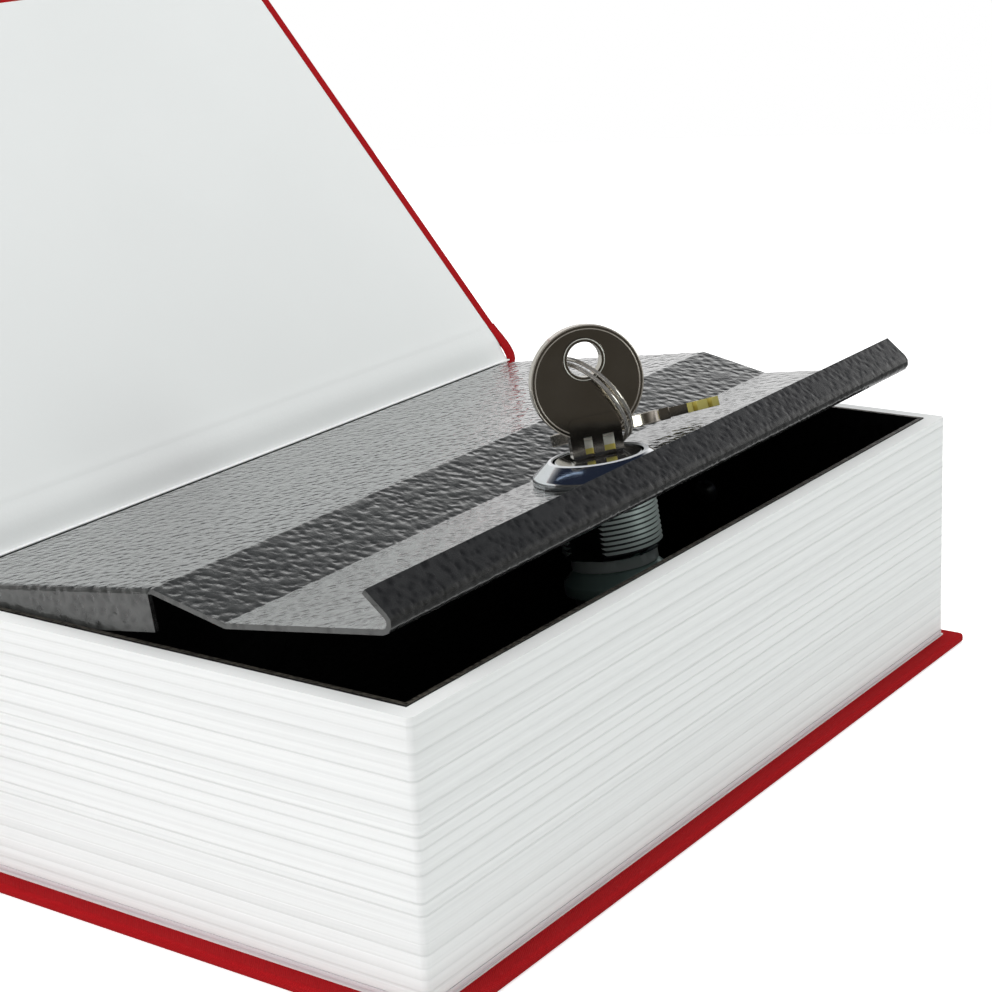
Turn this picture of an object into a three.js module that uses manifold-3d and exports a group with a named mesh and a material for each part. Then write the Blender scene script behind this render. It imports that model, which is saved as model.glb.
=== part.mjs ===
// A hard-cover dummy book that hides a small steel cash box, modelled in millimetres with +Z up.
// It lies on its back cover: X runs from the spine to the fore edge, Y from the tail to the head.
// The origin is the middle of the closed book's footprint, on the underside of the back cover.
// It is shown in use: front cover thrown back, box lid ajar, key in the lock, spare key on the split ring.
import * as THREE from "three";
import { mergeVertices } from "three/addons/utils/BufferGeometryUtils.js";
import Module from "manifold-3d";

const wasm = await Module();
wasm.setup();
const degree = Math.PI / 180;

// Case and page block
const block_length = 174;
const block_width = 110.2;
const block_height = 45.7;
const board_overhang = 3.2;
const board_sheet = 1.4;
const cloth_sheet = 0.4;
const paper_sheet = 0.3;
const glue_line = 0.1;
const page_base_sheet = 1.0;
const page_wall_side = 3.1;
const page_wall_end = 3.2;
const page_corner = 1.2;

// Cloth joint of the front cover
const cover_lift = 2.0;
const cover_pivot_inset = 2.56;
const cover_pivot_rise = 0.6;
const joint_groove = 6.2;
const joint_strip_inset = 1.0;
const joint_fold_width = 0.6;
const endpaper_strip_inset = 3.7;
const cover_open_angle = 130 * degree;

// Steel box
const box_sheet = 0.8;
const box_rim_rise = 0.2;
const box_fit = 0.1;

// Lid and its pivots
const lid_sheet = 0.9;
const lid_end_clearance = 0.4;
const lid_pivot_from_rear = 5.2;
const lid_pivot_depth = 2.4;
const lid_rear_reach = 2.5;
const lid_rear_return = 2.2;
const panel_rise = 4.08;
const lid_front_clearance = 0.55;
const slope_run = 14.05;
const slope_drop = 5.07;
const trough_run = 32.8;
const lip_rise = 5.26;
const lip_lean = 4.88;
const lid_bend_radius = 1.0;
const flange_height = 7.0;
const lid_ajar_angle = 8.37 * degree;
const pivot_radius = 1.2;
const pivot_hole_clearance = 0.25;
const pivot_head_radius = 2.3;
const pivot_head_height = 0.8;
const rivet_head_radius = 2.8;
const rivet_head_height = 1.6;
const rivet_shank_radius = 1.5;
const rivet_shank_bite = 2.4;
const rivet_offset = 2.5;

// Cam lock, measured from the top of the lid's trough
const seat_gap = 0.1;
const running_gap = 0.3;
const bezel_slope_lap = 0.22;
const lock_from_middle = 2.65;
const bezel_flange = 3.0;
const bezel_band = 1.2;
const bezel_height = 3.5;
const bezel_rim_width = 0.6;
const barrel_radius = 9.0;
const barrel_length = 16.0;
const barrel_flat_depth = 1.0;
const thread_pitch = 0.9;
const thread_depth = 0.4;
const thread_start = 1.4;
const barrel_end_step = 1.25;
const barrel_end_length = 2.3;
const lid_hole_clearance = 0.15;
const washer_sheet = 0.8;
const nut_wall = 2.5;
const nut_height = 1.6;
const plug_head_lip = 1.4;
const plug_head_depth = 2.0;
const plug_face_height = 3.2;
const barrel_wall = 2.7;
const plug_tail_width = 6.4;
const square_clearance = 0.15;
const collar_top_radius = 7.5;
const collar_radius = 9.6;
const collar_chamfer_height = 2.2;
const collar_height = 4.2;
const cam_sheet = 2.0;
const cam_width = 12;
const cam_reach = 18;
const cam_hub_radius = 8;
const cam_washer_radius = 5;
const screw_radius = 1.5;
const screw_head_radius = 3.4;
const screw_head_height = 2.2;
const screw_length = 5.4;
const screw_recess_depth = 0.9;
const screw_recess_width = 0.8;
const screw_recess_share = 0.6;
const wafer_count = 5;
const wafer_sheet = 0.8;
const wafer_pitch = 2.2;
const wafer_first_depth = 4.2;
const wafer_end_gap = 0.2;
const wafer_width_share = 0.762;
const wafer_window_margin = 0.5;
const wafer_slot_clearance = 0.1;
const wafer_foot_width = 1.5;
const wafer_foot_length = 1.0;
const wafer_foot_inset = 2.7;
const wafer_spring_radius = 0.5;
const wafer_spring_length = 4.0;
const housing_groove_depth = 1.2;
const key_turn_angle = 41.3 * degree;

// Strike plate under the box's front rim
const strike_sheet = 1.2;
const strike_gap = 0.4;
const strike_reach = 6.4;
const strike_width = 12;
const strike_height = 9;

// Keys and split ring
const key_sheet = 1.8;
const key_bow_radius = 10.05;
const key_bow_height = 16.39;
const key_hole_height = 20.46;
const key_hole_radius = 3.1;
const coined_rim_width = 0.77;
const coined_rim_rise = 0.2;
const bow_rim_width = 0.7;
const bow_rim_rise = 0.1;
const shoulder_width = 9.3;
const shoulder_sheet = 2.2;
const shoulder_height = 7.0;
const shoulder_corner = 1.4;
const blade_side_inset = 2.0;
const blade_length = 16.2;
const blade_tip_chamfer = 1.6;
const key_groove_depth = 0.5;
const key_groove_height = 7.0;
const near_groove_width = 1.45;
const near_groove_offset = 1.6;
const far_groove_width = 1.95;
const far_groove_offset = 2.1;
const keyway_clearance = 0.3;
const cut_depth = 1.0;
const cut_width = 1.3;
const ring_wire = 0.75;
const ring_radius = 9.0;
const ring_pitch = 1.2;
const ring_crossing_angle = 40 * degree;
const ring_end_gap_angle = 8 * degree;
const ring_start_angle = 280 * degree;
const ring_steps_per_turn = 24;
const wire_sides = 6;
const ring_seat_shares = [-0.317, -0.268];
const ring_yaw = 33.25 * degree;
const ring_pitch_angle = -20.16 * degree;
const ring_roll = 27.67 * degree;
const spare_ring_angle = 192 * degree;
const spare_heading = 7.24 * degree;
const spare_dip = -4.9 * degree;
const spare_bank = 10.8 * degree;
const spare_hole_shares = [-0.3, 0.2];

// One overrun serves every cut
const overrun = 1;

// Places worked out from the sizes above
const spine_stack = cloth_sheet + glue_line + board_sheet + glue_line;
const case_width = spine_stack + block_width + board_overhang;
const case_length = block_length + 2 * board_overhang;
const fore_x = case_width / 2;
const spine_x = -case_width / 2;
const block_spine_x = spine_x + spine_stack;
const block_fore_x = fore_x - board_overhang;
const back_board_z = cloth_sheet + glue_line;
const back_paper_z = back_board_z + board_sheet + glue_line;
const page_base_z = back_paper_z + paper_sheet + glue_line;
const page_block_z = page_base_z + page_base_sheet + glue_line;
const block_top_z = page_base_z + block_height;
const box_rear_x = block_spine_x + page_wall_side + box_fit;
const box_fore_x = block_fore_x - page_wall_side - box_fit;
const box_end_y = block_length / 2 - page_wall_end - box_fit;
const box_floor_z = page_block_z + box_sheet;
const box_inner_rear_x = box_rear_x + box_sheet;
const box_inner_fore_x = box_fore_x - box_sheet;
const box_inner_end_y = box_end_y - box_sheet;
const box_rim_z = block_top_z + box_rim_rise;
const pivot_x = box_inner_rear_x + lid_pivot_from_rear;
const pivot_z = block_top_z - lid_pivot_depth;
const lid_end_y = box_inner_end_y - lid_end_clearance;
const trough_rise = panel_rise - slope_drop;
const lip_x = box_inner_fore_x - pivot_x - lid_front_clearance;
const slope_front = lip_x - trough_run;
const panel_front = slope_front - slope_run;
const bezel_radius = barrel_radius + bezel_flange;
const barrel_flat = barrel_radius - barrel_flat_depth;
const plug_radius = barrel_radius - barrel_wall;
const plug_head_radius = plug_radius + plug_head_lip;
const wafer_length = 2 * (plug_radius - wafer_end_gap);
const wafer_width = plug_radius * wafer_width_share;
const wafer_foot_reach = plug_radius - wafer_foot_inset;
const blade_width = 2 * (plug_radius - blade_side_inset);
const nut_across_flats = 2 * (barrel_radius + nut_wall);
const lock_x = slope_front + bezel_radius - bezel_slope_lap;
const cover_inner_z = block_top_z + cover_lift;
const cover_pivot_x = block_spine_x + cover_pivot_inset;
const cover_pivot_z = cover_inner_z + cover_pivot_rise;
const cover_board_z = cover_inner_z + paper_sheet + glue_line;
const cover_cloth_z = cover_board_z + board_sheet + glue_line;
const cover_top_z = cover_cloth_z + cloth_sheet;
const joint_cloth_start = cover_pivot_x - spine_x + running_gap;
const joint_cloth_rise = cover_cloth_z - cover_pivot_z;
const rivet_x = (box_inner_rear_x + box_inner_fore_x) / 2 + rivet_offset;
const rivet_z = (box_floor_z + box_rim_z) / 2;
const tail_top = -barrel_length - seat_gap;
const collar_top = tail_top - seat_gap;
const cam_top = collar_top - collar_height - seat_gap;
const cam_washer_top = cam_top - cam_sheet - seat_gap;
const screw_head_top = cam_washer_top - washer_sheet - seat_gap;
const tail_bottom = cam_top - cam_sheet + seat_gap;
const strike_lug_z = pivot_z + trough_rise + cam_top + strike_gap;
const strike_leaf_x = box_inner_fore_x - seat_gap;
const strike_rivet_z = strike_lug_z + strike_sheet + (strike_height - strike_sheet) / 2;
const ring_sweep = 4 * Math.PI - ring_crossing_angle - ring_end_gap_angle;

function finish(color, roughness, metalness) {
  return new THREE.MeshStandardMaterial({ color, roughness, metalness });
}
const red_cloth = finish(0xa8141a, 0.8, 0);
const grey_board = finish(0x8d8a82, 0.9, 0);
const white_paper = finish(0xe6eaea, 0.85, 0);
const page_paper = finish(0xeceeed, 0.8, 0);
const hammered_paint = finish(0x3c3f3d, 0.3, 0.4);
const box_paint = finish(0x0c0d0d, 0.4, 0.3);
const chrome = finish(0xb9bfc4, 0.12, 1);
const dark_chrome = finish(0x3b474a, 0.25, 1);
const zinc = finish(0x8f9596, 0.4, 1);
const brass = finish(0xb89a4a, 0.3, 1);
const nickel = finish(0x6e665e, 0.25, 1);
const spring_steel = finish(0xb7b2a8, 0.2, 1);

// Turns a closed three.js geometry into a solid that can be joined and cut
function solidOf(geometry) {
  const bare = geometry.clone();
  bare.deleteAttribute("normal");
  bare.deleteAttribute("uv");
  const merged = mergeVertices(bare, 1e-4);
  return new wasm.Manifold(new wasm.Mesh({
    numProp: 3,
    vertProperties: Float32Array.from(merged.attributes.position.array),
    triVerts: Uint32Array.from(merged.index.array),
  }));
}

function geometryOf(solid) {
  const mesh = solid.getMesh();
  const geometry = new THREE.BufferGeometry();
  geometry.setAttribute("position", new THREE.BufferAttribute(Float32Array.from(mesh.vertProperties), 3));
  geometry.setIndex(new THREE.BufferAttribute(Uint32Array.from(mesh.triVerts), 1));
  geometry.computeVertexNormals();
  return geometry;
}

function piece(name, solid, material) {
  const mesh = new THREE.Mesh(geometryOf(solid), material);
  mesh.name = name;
  return mesh;
}

function join(first, ...others) {
  return others.reduce((sum, other) => sum.add(other), first);
}

function cut(first, ...others) {
  return others.reduce((rest, other) => rest.subtract(other), first);
}

// A rectangular block between two corners
function brick(x0, x1, y0, y1, z0, z1) {
  const geometry = new THREE.BoxGeometry(x1 - x0, y1 - y0, z1 - z0);
  geometry.translate((x0 + x1) / 2, (y0 + y1) / 2, (z0 + z1) / 2);
  return solidOf(geometry);
}

// A round bar along Z
function bar(radius, z0, z1, sides) {
  const geometry = new THREE.CylinderGeometry(radius, radius, z1 - z0, sides);
  geometry.rotateX(90 * degree);
  geometry.translate(0, 0, (z0 + z1) / 2);
  return solidOf(geometry);
}

// A turned piece: outline of [radius, height] pairs, from the lowest point outwards and up
function turned(outline, sides) {
  const geometry = new THREE.LatheGeometry(outline.map(([r, z]) => new THREE.Vector2(r, z)), sides);
  geometry.rotateX(90 * degree);
  return solidOf(geometry);
}

// A turned ring closes its outline on itself
function turnedRing(outline, sides) {
  return turned([...outline, outline[0]], sides);
}

function prism(shape, depth, curveSegments) {
  return solidOf(new THREE.ExtrudeGeometry(shape, { depth, bevelEnabled: false, curveSegments }));
}

function roundedRectangle(x0, x1, y0, y1, radius) {
  const shape = new THREE.Shape();
  shape.moveTo(x0 + radius, y0);
  shape.lineTo(x1 - radius, y0);
  shape.absarc(x1 - radius, y0 + radius, radius, -90 * degree, 0);
  shape.lineTo(x1, y1 - radius);
  shape.absarc(x1 - radius, y1 - radius, radius, 0, 90 * degree);
  shape.lineTo(x0 + radius, y1);
  shape.absarc(x0 + radius, y1 - radius, radius, 90 * degree, 180 * degree);
  shape.lineTo(x0, y0 + radius);
  shape.absarc(x0 + radius, y0 + radius, radius, 180 * degree, 270 * degree);
  return shape;
}

// The outline of a bent sheet: a top line of points, a thickness below it and a radius at each bend
function bentSheet(line, sheet, radius, arcSteps) {
  const above = [];
  const below = [];
  line.forEach((point, i) => {
    const before = i > 0 ? point.clone().sub(line[i - 1]).normalize() : null;
    const after = i < line.length - 1 ? line[i + 1].clone().sub(point).normalize() : null;
    const along = before ?? after;
    const next = after ?? before;
    const down = new THREE.Vector2(along.y, -along.x);
    const nextDown = new THREE.Vector2(next.y, -next.x);
    const turn = along.cross(next);
    if (Math.abs(turn) < 1e-9) {
      above.push(point.clone());
      below.push(point.clone().addScaledVector(down, sheet));
      return;
    }
    const inside = turn > 0 ? radius : radius + sheet;
    const half = Math.acos(Math.min(1, along.dot(next))) / 2;
    const middle = down.clone().add(nextDown).normalize();
    const side = turn > 0 ? -1 : 1;
    const centre = point.clone().addScaledVector(middle, (side * inside) / Math.cos(half));
    for (let step = 0; step <= arcSteps; step += 1) {
      const angle = -half + (2 * half * step) / arcSteps;
      const ray = middle.clone().rotateAround(new THREE.Vector2(), turn > 0 ? angle : -angle);
      ray.multiplyScalar(-side);
      above.push(centre.clone().addScaledVector(ray, inside));
      below.push(centre.clone().addScaledVector(ray, inside + side * -sheet));
    }
  });
  return new THREE.Shape([...below, ...above.reverse()]);
}

// The red cloth of the spine and back cover, one skin with its edges turned over the boards
function caseCloth() {
  const end = case_length / 2;
  const inner_end = end - cloth_sheet;
  const rim_top = back_board_z + board_sheet;
  const skin = cut(
    brick(spine_x, fore_x, -end, end, 0, rim_top),
    brick(spine_x + cloth_sheet, fore_x - cloth_sheet, -inner_end, inner_end, cloth_sheet,
      rim_top + overrun),
  );
  const spine = cut(
    brick(spine_x, block_spine_x - glue_line, -end, end, 0, cover_top_z),
    brick(spine_x + cloth_sheet, block_spine_x, -inner_end, inner_end, cloth_sheet, cover_top_z + overrun),
  );
  return piece("case_cloth", join(skin, spine), red_cloth);
}

function backBoard() {
  const edge = cloth_sheet + glue_line;
  const end = case_length / 2 - edge;
  return piece("back_board", brick(block_spine_x, fore_x - edge, -end, end, back_board_z,
    back_board_z + board_sheet), grey_board);
}

function backEndpaper() {
  const end = block_length / 2;
  return piece("back_endpaper", brick(block_spine_x, block_fore_x, -end, end, back_paper_z,
    back_paper_z + paper_sheet), white_paper);
}

function spineBoard() {
  const edge = cloth_sheet + glue_line;
  const end = case_length / 2 - edge;
  return piece("spine_board", brick(spine_x + edge, block_spine_x - glue_line, -end, end, back_board_z,
    cover_cloth_z), grey_board);
}

// The fixed part of the flexible cloth joint, with the fold that rises to meet the open cover
function frontJointCloth() {
  const end = case_length / 2 - cloth_sheet - glue_line;
  const z0 = cover_cloth_z + glue_line;
  const strip = brick(spine_x + cloth_sheet + glue_line, cover_pivot_x - joint_strip_inset, -end, end, z0,
    cover_top_z);
  const reach = Math.hypot(joint_cloth_start, joint_cloth_rise) - running_gap;
  const angle = cover_open_angle + Math.atan2(joint_cloth_rise, joint_cloth_start);
  const fold_x = cover_pivot_x + reach * Math.cos(angle);
  const fold_top = cover_pivot_z + reach * Math.sin(angle);
  const fold = brick(fold_x, fold_x + joint_fold_width, -end, end, z0, fold_top);
  return piece("front_joint_cloth", join(strip, fold), red_cloth);
}

// The endpaper strip glued along the block, over the rim of the steel box
function jointEndpaper() {
  const end = block_length / 2;
  const z0 = box_rim_z + glue_line;
  return piece("joint_endpaper", brick(block_spine_x, block_spine_x + endpaper_strip_inset, -end, end, z0,
    z0 + paper_sheet), white_paper);
}

function pageBase() {
  const end = block_length / 2;
  const shape = roundedRectangle(block_spine_x, block_fore_x, -end, end, page_corner);
  const sheet = prism(shape, page_base_sheet, 4).translate([0, 0, page_base_z]);
  return piece("page_base", sheet, page_paper);
}

// The hollowed page block, four walls round the steel box
function pageBlock() {
  const end = block_length / 2;
  const height = block_top_z - page_block_z;
  const outer = prism(roundedRectangle(block_spine_x, block_fore_x, -end, end, page_corner), height, 4)
    .translate([0, 0, page_block_z]);
  const cavity_end = end - page_wall_end;
  const cavity = brick(block_spine_x + page_wall_side, block_fore_x - page_wall_side, -cavity_end, cavity_end,
    page_block_z - overrun, block_top_z + overrun);
  const hole = alongY(bar(rivet_shank_radius + box_fit, 0, box_end_y + rivet_shank_bite + box_fit, 16));
  const holes = [1, -1].map((side) => placed(side > 0 ? hole : hole.mirror([0, 1, 0]), rivet_x, 0, rivet_z));
  return piece("page_block", cut(outer, cavity, ...holes), page_paper);
}

// Lays a bar that was made along Z along +Y instead
function alongY(solid) {
  return solid.rotate([-90, 0, 0]);
}

function placed(solid, x, y, z) {
  return solid.translate([x, y, z]);
}

// The folded steel tray with the holes for its pivots and rivets
function steelBox() {
  const tray = cut(
    brick(box_rear_x, box_fore_x, -box_end_y, box_end_y, page_block_z, box_rim_z),
    brick(box_inner_rear_x, box_inner_fore_x, -box_inner_end_y, box_inner_end_y, box_floor_z,
      box_rim_z + overrun),
  );
  const reach = box_end_y + overrun;
  const pivot_hole = placed(alongY(bar(pivot_radius + box_fit, -reach, reach, 20)), pivot_x, 0, pivot_z);
  const rivet_hole = placed(alongY(bar(rivet_shank_radius + box_fit, -reach, reach, 16)), rivet_x, 0, rivet_z);
  return piece("steel_box", cut(tray, pivot_hole, rivet_hole, ...strikeRivetBars(box_fit)), box_paint);
}

function strikeRivetPlaces() {
  return [1, -1].map((side) => lock_from_middle + (side * strike_width) / 4);
}

function strikeRivetBars(clearance) {
  const back = box_fore_x + box_fit / 2;
  return strikeRivetPlaces().map((y) => {
    const shank = bar(screw_radius / 2 + clearance, strike_leaf_x - 2 * strike_sheet, back, 12);
    return placed(shank.rotate([0, 90, 0]), 0, y, strike_rivet_z);
  });
}

// The bracket that the cam turns under, riveted inside the front wall
function strikePlate() {
  const y0 = lock_from_middle - strike_width / 2;
  const y1 = lock_from_middle + strike_width / 2;
  const leaf = brick(strike_leaf_x - strike_sheet, strike_leaf_x, y0, y1, strike_lug_z,
    strike_lug_z + strike_height);
  const lug = brick(strike_leaf_x - strike_reach, strike_leaf_x, y0, y1, strike_lug_z,
    strike_lug_z + strike_sheet);
  return piece("strike_plate", cut(join(leaf, lug), ...strikeRivetBars(box_fit)), zinc);
}

function strikeRivets() {
  const head_x = strike_leaf_x - strike_sheet - seat_gap;
  return strikeRivetPlaces().map((y, i) => {
    const shank = bar(screw_radius / 2, head_x - screw_radius / 4, box_fore_x, 12).rotate([0, 90, 0]);
    const dome = turned([[0, 0], [screw_radius, 0], [screw_radius / 2, screw_radius / 2], [0, screw_radius / 2]],
      16).rotate([0, -90, 0]);
    const rivet = join(placed(shank, 0, y, strike_rivet_z), placed(dome, head_x, y, strike_rivet_z));
    return piece(`strike_rivet_${i + 1}`, rivet, zinc);
  });
}

// One rivet of a pair on the end walls, made for the head end and mirrored for the tail
function endPair(names, solid, material) {
  return names.map((name, i) => piece(name, i === 0 ? solid : solid.mirror([0, 1, 0]), material));
}

function lidPivots() {
  const head_y = lid_end_y - lid_sheet - running_gap;
  const shank = bar(pivot_radius, head_y, box_end_y, 20);
  const head = bar(pivot_head_radius, head_y - pivot_head_height, head_y, 20);
  const stud = placed(alongY(join(shank, head)), pivot_x, 0, pivot_z);
  return endPair(["lid_pivot_head", "lid_pivot_tail"], stud, zinc);
}

// Domed rivets that hold the box in the page block
function boxRivets() {
  const seat_y = box_inner_end_y - seat_gap;
  const shank = bar(rivet_shank_radius, seat_y, box_end_y + rivet_shank_bite, 16);
  const steps = 5;
  const outline = [[0, seat_y]];
  for (let i = 0; i <= steps; i += 1) {
    const angle = (90 * degree * i) / steps;
    outline.push([rivet_head_radius * Math.cos(angle), seat_y - rivet_head_height * Math.sin(angle)]);
  }
  const dome = turned(outline.reverse(), 24);
  const rivet = placed(alongY(join(shank, dome)), rivet_x, 0, rivet_z);
  return endPair(["box_rivet_head", "box_rivet_tail"], rivet, zinc);
}

// The front cover is built closed and swung open about the cloth joint
function frontCover() {
  const group = new THREE.Group();
  group.position.set(cover_pivot_x, 0, cover_pivot_z);
  group.rotation.y = -cover_open_angle;
  const x0 = joint_groove;
  const x1 = fore_x - cover_pivot_x;
  const end = case_length / 2;
  const cloth_z0 = cover_board_z - cover_pivot_z;
  const cloth_z1 = cover_top_z - cover_pivot_z;
  const sheet_z = joint_cloth_rise;
  const inner_end = end - cloth_sheet;
  const cloth = cut(
    brick(joint_cloth_start, x1, -end, end, cloth_z0, cloth_z1),
    brick(joint_cloth_start - overrun, x1 - cloth_sheet, -inner_end, inner_end, cloth_z0 - overrun, sheet_z),
  );
  const edge = cloth_sheet + glue_line;
  const board = brick(x0, x1 - edge, -end + edge, end - edge, cloth_z0, cloth_z0 + board_sheet);
  const paper_z = cover_inner_z - cover_pivot_z;
  const paper = brick(x0, x1 - board_overhang, -block_length / 2, block_length / 2, paper_z,
    paper_z + paper_sheet);
  group.add(piece("front_cloth", cloth, red_cloth));
  group.add(piece("front_board", board, grey_board));
  group.add(piece("front_endpaper", paper, white_paper));
  return group;
}

// The lid is pressed from one sheet: raised panel, slope, trough and a lip that leans back
function lid() {
  const line = [
    [-lid_rear_reach, panel_rise - lid_rear_return],
    [-lid_rear_reach, panel_rise],
    [panel_front, panel_rise],
    [slope_front, trough_rise],
    [lip_x, trough_rise],
    [lip_x - lip_lean, trough_rise + lip_rise],
  ].map(([x, z]) => new THREE.Vector2(x, z));
  const section = bentSheet(line, lid_sheet, lid_bend_radius, 4);
  const length = 2 * lid_end_y;
  const panel = prism(section, length, 4).rotate([90, 0, 0]).translate([0, lid_end_y, 0]);
  const flange_z = panel_rise - flange_height;
  const flange_rear = -lid_rear_reach + lid_bend_radius;
  const flange_top = panel_rise - lid_sheet / 2;
  const flange = brick(flange_rear, panel_front - lid_bend_radius, lid_end_y - lid_sheet, lid_end_y, flange_z,
    flange_top);
  const reach = lid_end_y + overrun;
  const pivot_hole = alongY(bar(pivot_radius + pivot_hole_clearance, -reach, reach, 20));
  const lock_hole = cut(
    bar(barrel_radius + lid_hole_clearance, trough_rise - lid_sheet - overrun, trough_rise + overrun, 48),
    ...flatCutters(barrel_flat + lid_hole_clearance, trough_rise - lid_sheet - 2 * overrun,
      trough_rise + 2 * overrun),
  ).translate([lock_x, lock_from_middle, 0]);
  const body = join(panel, flange, flange.mirror([0, 1, 0]));
  return piece("lid", cut(body, pivot_hole, lock_hole), hammered_paint);
}

// The two blocks that leave flats on the lock barrel and on its hole
function flatCutters(flat, z0, z1) {
  const wide = barrel_radius + bezel_radius;
  const cutter = brick(-wide, wide, flat, flat + barrel_radius, z0, z1);
  return [cutter, cutter.mirror([0, 1, 0])];
}

// Bezel and threaded barrel in one casting
function lockHousing() {
  const bore = plug_radius + running_gap;
  const head_bore = plug_head_radius + running_gap + seat_gap;
  const head_floor = -plug_head_depth - running_gap;
  const end_radius = barrel_radius - barrel_end_step;
  const end_top = -barrel_length + barrel_end_length;
  const outline = [[bore, -barrel_length], [end_radius, -barrel_length], [end_radius, end_top],
    [barrel_radius - thread_depth, end_top]];
  const turns = Math.floor((barrel_length - barrel_end_length - thread_start) / thread_pitch);
  for (let i = turns; i > 0; i -= 1) {
    const root = -thread_start - i * thread_pitch;
    outline.push([barrel_radius - thread_depth, root], [barrel_radius, root + thread_pitch / 2]);
  }
  outline.push([barrel_radius - thread_depth, -thread_start], [barrel_radius, -thread_start + thread_depth]);
  outline.push([barrel_radius, seat_gap], [bezel_radius, seat_gap], [bezel_radius, bezel_band]);
  outline.push([head_bore + bezel_rim_width, bezel_height], [head_bore, bezel_height]);
  outline.push([head_bore, head_floor], [bore, head_floor]);
  const body = turnedRing(outline, 48);
  const groove_reach = plug_radius + housing_groove_depth;
  const groove_half = wafer_width / 2 + running_gap;
  const first = -wafer_first_depth + wafer_pitch / 2;
  const last = first - wafer_pitch * wafer_count;
  const groove = brick(-groove_reach, groove_reach, -groove_half, groove_half, last, first);
  const flats = flatCutters(barrel_flat, -barrel_length - overrun, 0);
  return piece("lock_housing", cut(body, groove, ...flats), chrome);
}

function lockWasher() {
  const top = -lid_sheet - seat_gap;
  const hole = barrel_radius + lid_hole_clearance;
  const outline = [[hole, top - washer_sheet], [bezel_radius, top - washer_sheet], [bezel_radius, top],
    [hole, top]];
  return piece("lock_washer", turnedRing(outline, 36), zinc);
}

function lockNut() {
  const top = -lid_sheet - washer_sheet - 2 * seat_gap;
  const corner = nut_across_flats / 2 / Math.cos(30 * degree);
  const hex = bar(corner, top - nut_height, top, 6);
  const hole = bar(barrel_radius + lid_hole_clearance, top - nut_height - overrun, top + overrun, 36);
  return piece("lock_nut", cut(hex, hole), zinc);
}

// Depth of each wafer below the trough
function waferDepths() {
  return Array.from({ length: wafer_count }, (_, i) => -wafer_first_depth - i * wafer_pitch);
}

// Plan of one wafer in the plug's own axes: a plate with a foot that its spring bears on
function waferPlan(z, thickness, grow) {
  const half_length = wafer_length / 2 + grow;
  const half_width = wafer_width / 2 + grow;
  const plate = brick(-half_length, half_length, -half_width, half_width, z - thickness / 2, z + thickness / 2);
  const foot = brick(wafer_foot_reach - wafer_foot_length - grow, wafer_foot_reach + grow, 0,
    half_width + wafer_foot_width, z - thickness / 2, z + thickness / 2);
  return join(plate, foot).intersect(bar(plug_radius - seat_gap + grow, z - thickness, z + thickness, 40));
}

function springPlace() {
  const end_x = wafer_foot_reach - wafer_foot_length - seat_gap;
  const y = (wafer_width + wafer_foot_width) / 2;
  return { start_x: end_x - wafer_spring_length, end_x, y };
}

function alongX(radius, x0, x1, y, z, sides) {
  return placed(bar(radius, x0, x1, sides).rotate([0, 90, 0]), 0, y, z);
}

// The plug that the key turns, with its keyway, wafer slots and square tail
function lockPlug() {
  const outline = [[0, tail_top], [plug_radius, tail_top], [plug_radius, -plug_head_depth],
    [plug_head_radius, -plug_head_depth], [plug_head_radius, plug_face_height - seat_gap],
    [plug_head_radius - seat_gap, plug_face_height], [0, plug_face_height]];
  const half_tail = plug_tail_width / 2;
  const tail = brick(-half_tail, half_tail, -half_tail, half_tail, tail_bottom, tail_top + overrun);
  const keyway = brick(-blade_width / 2 - keyway_clearance, blade_width / 2 + keyway_clearance,
    -key_sheet / 2 - keyway_clearance, key_sheet / 2 + keyway_clearance,
    plug_face_height + seat_gap - blade_length - running_gap, plug_face_height + overrun);
  const spring = springPlace();
  const slot_half = wafer_width / 2 + wafer_slot_clearance;
  const slot_rise = wafer_sheet / 2 + wafer_slot_clearance;
  const slots = waferDepths().flatMap((z) => [
    waferPlan(z, 2 * slot_rise, wafer_slot_clearance),
    brick(-barrel_radius, barrel_radius, -slot_half, slot_half, z - slot_rise, z + slot_rise),
    alongX(wafer_spring_radius + wafer_slot_clearance, spring.start_x - seat_gap,
      spring.end_x + wafer_foot_length / 2, spring.y, z, 12),
  ]);
  const screw_hole = bar(screw_radius + seat_gap, tail_bottom - overrun,
    screw_head_top + screw_length + running_gap, 20);
  const body = join(turned(outline, 48), tail);
  return piece("lock_plug", cut(body, keyway, screw_hole, ...slots), chrome);
}

function wafers() {
  const half_x = blade_width / 2 + keyway_clearance + wafer_window_margin / 2;
  const half_y = key_sheet / 2 + keyway_clearance + wafer_window_margin / 2;
  return waferDepths().map((z, i) => {
    const window = brick(-half_x, half_x, -half_y, half_y, z - wafer_sheet, z + wafer_sheet);
    return piece(`wafer_${i + 1}`, cut(waferPlan(z, wafer_sheet, 0), window), brass);
  });
}

function waferSprings() {
  const { start_x, end_x, y } = springPlace();
  return waferDepths().map((z, i) => piece(`wafer_spring_${i + 1}`,
    alongX(wafer_spring_radius, start_x, end_x, y, z, 10), spring_steel));
}

function squareHole(z0, z1) {
  const half = plug_tail_width / 2 + square_clearance;
  return brick(-half, half, -half, half, z0 - overrun, z1 + overrun);
}

// The smooth flared collar between barrel and cam
function camCollar() {
  const bottom = collar_top - collar_height;
  const shoulder = collar_top - collar_chamfer_height;
  const body = turned([[0, bottom], [collar_radius, bottom], [collar_radius, shoulder],
    [collar_top_radius, collar_top], [0, collar_top]], 48);
  return piece("cam_collar", cut(body, squareHole(bottom, collar_top)), dark_chrome);
}

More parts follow.
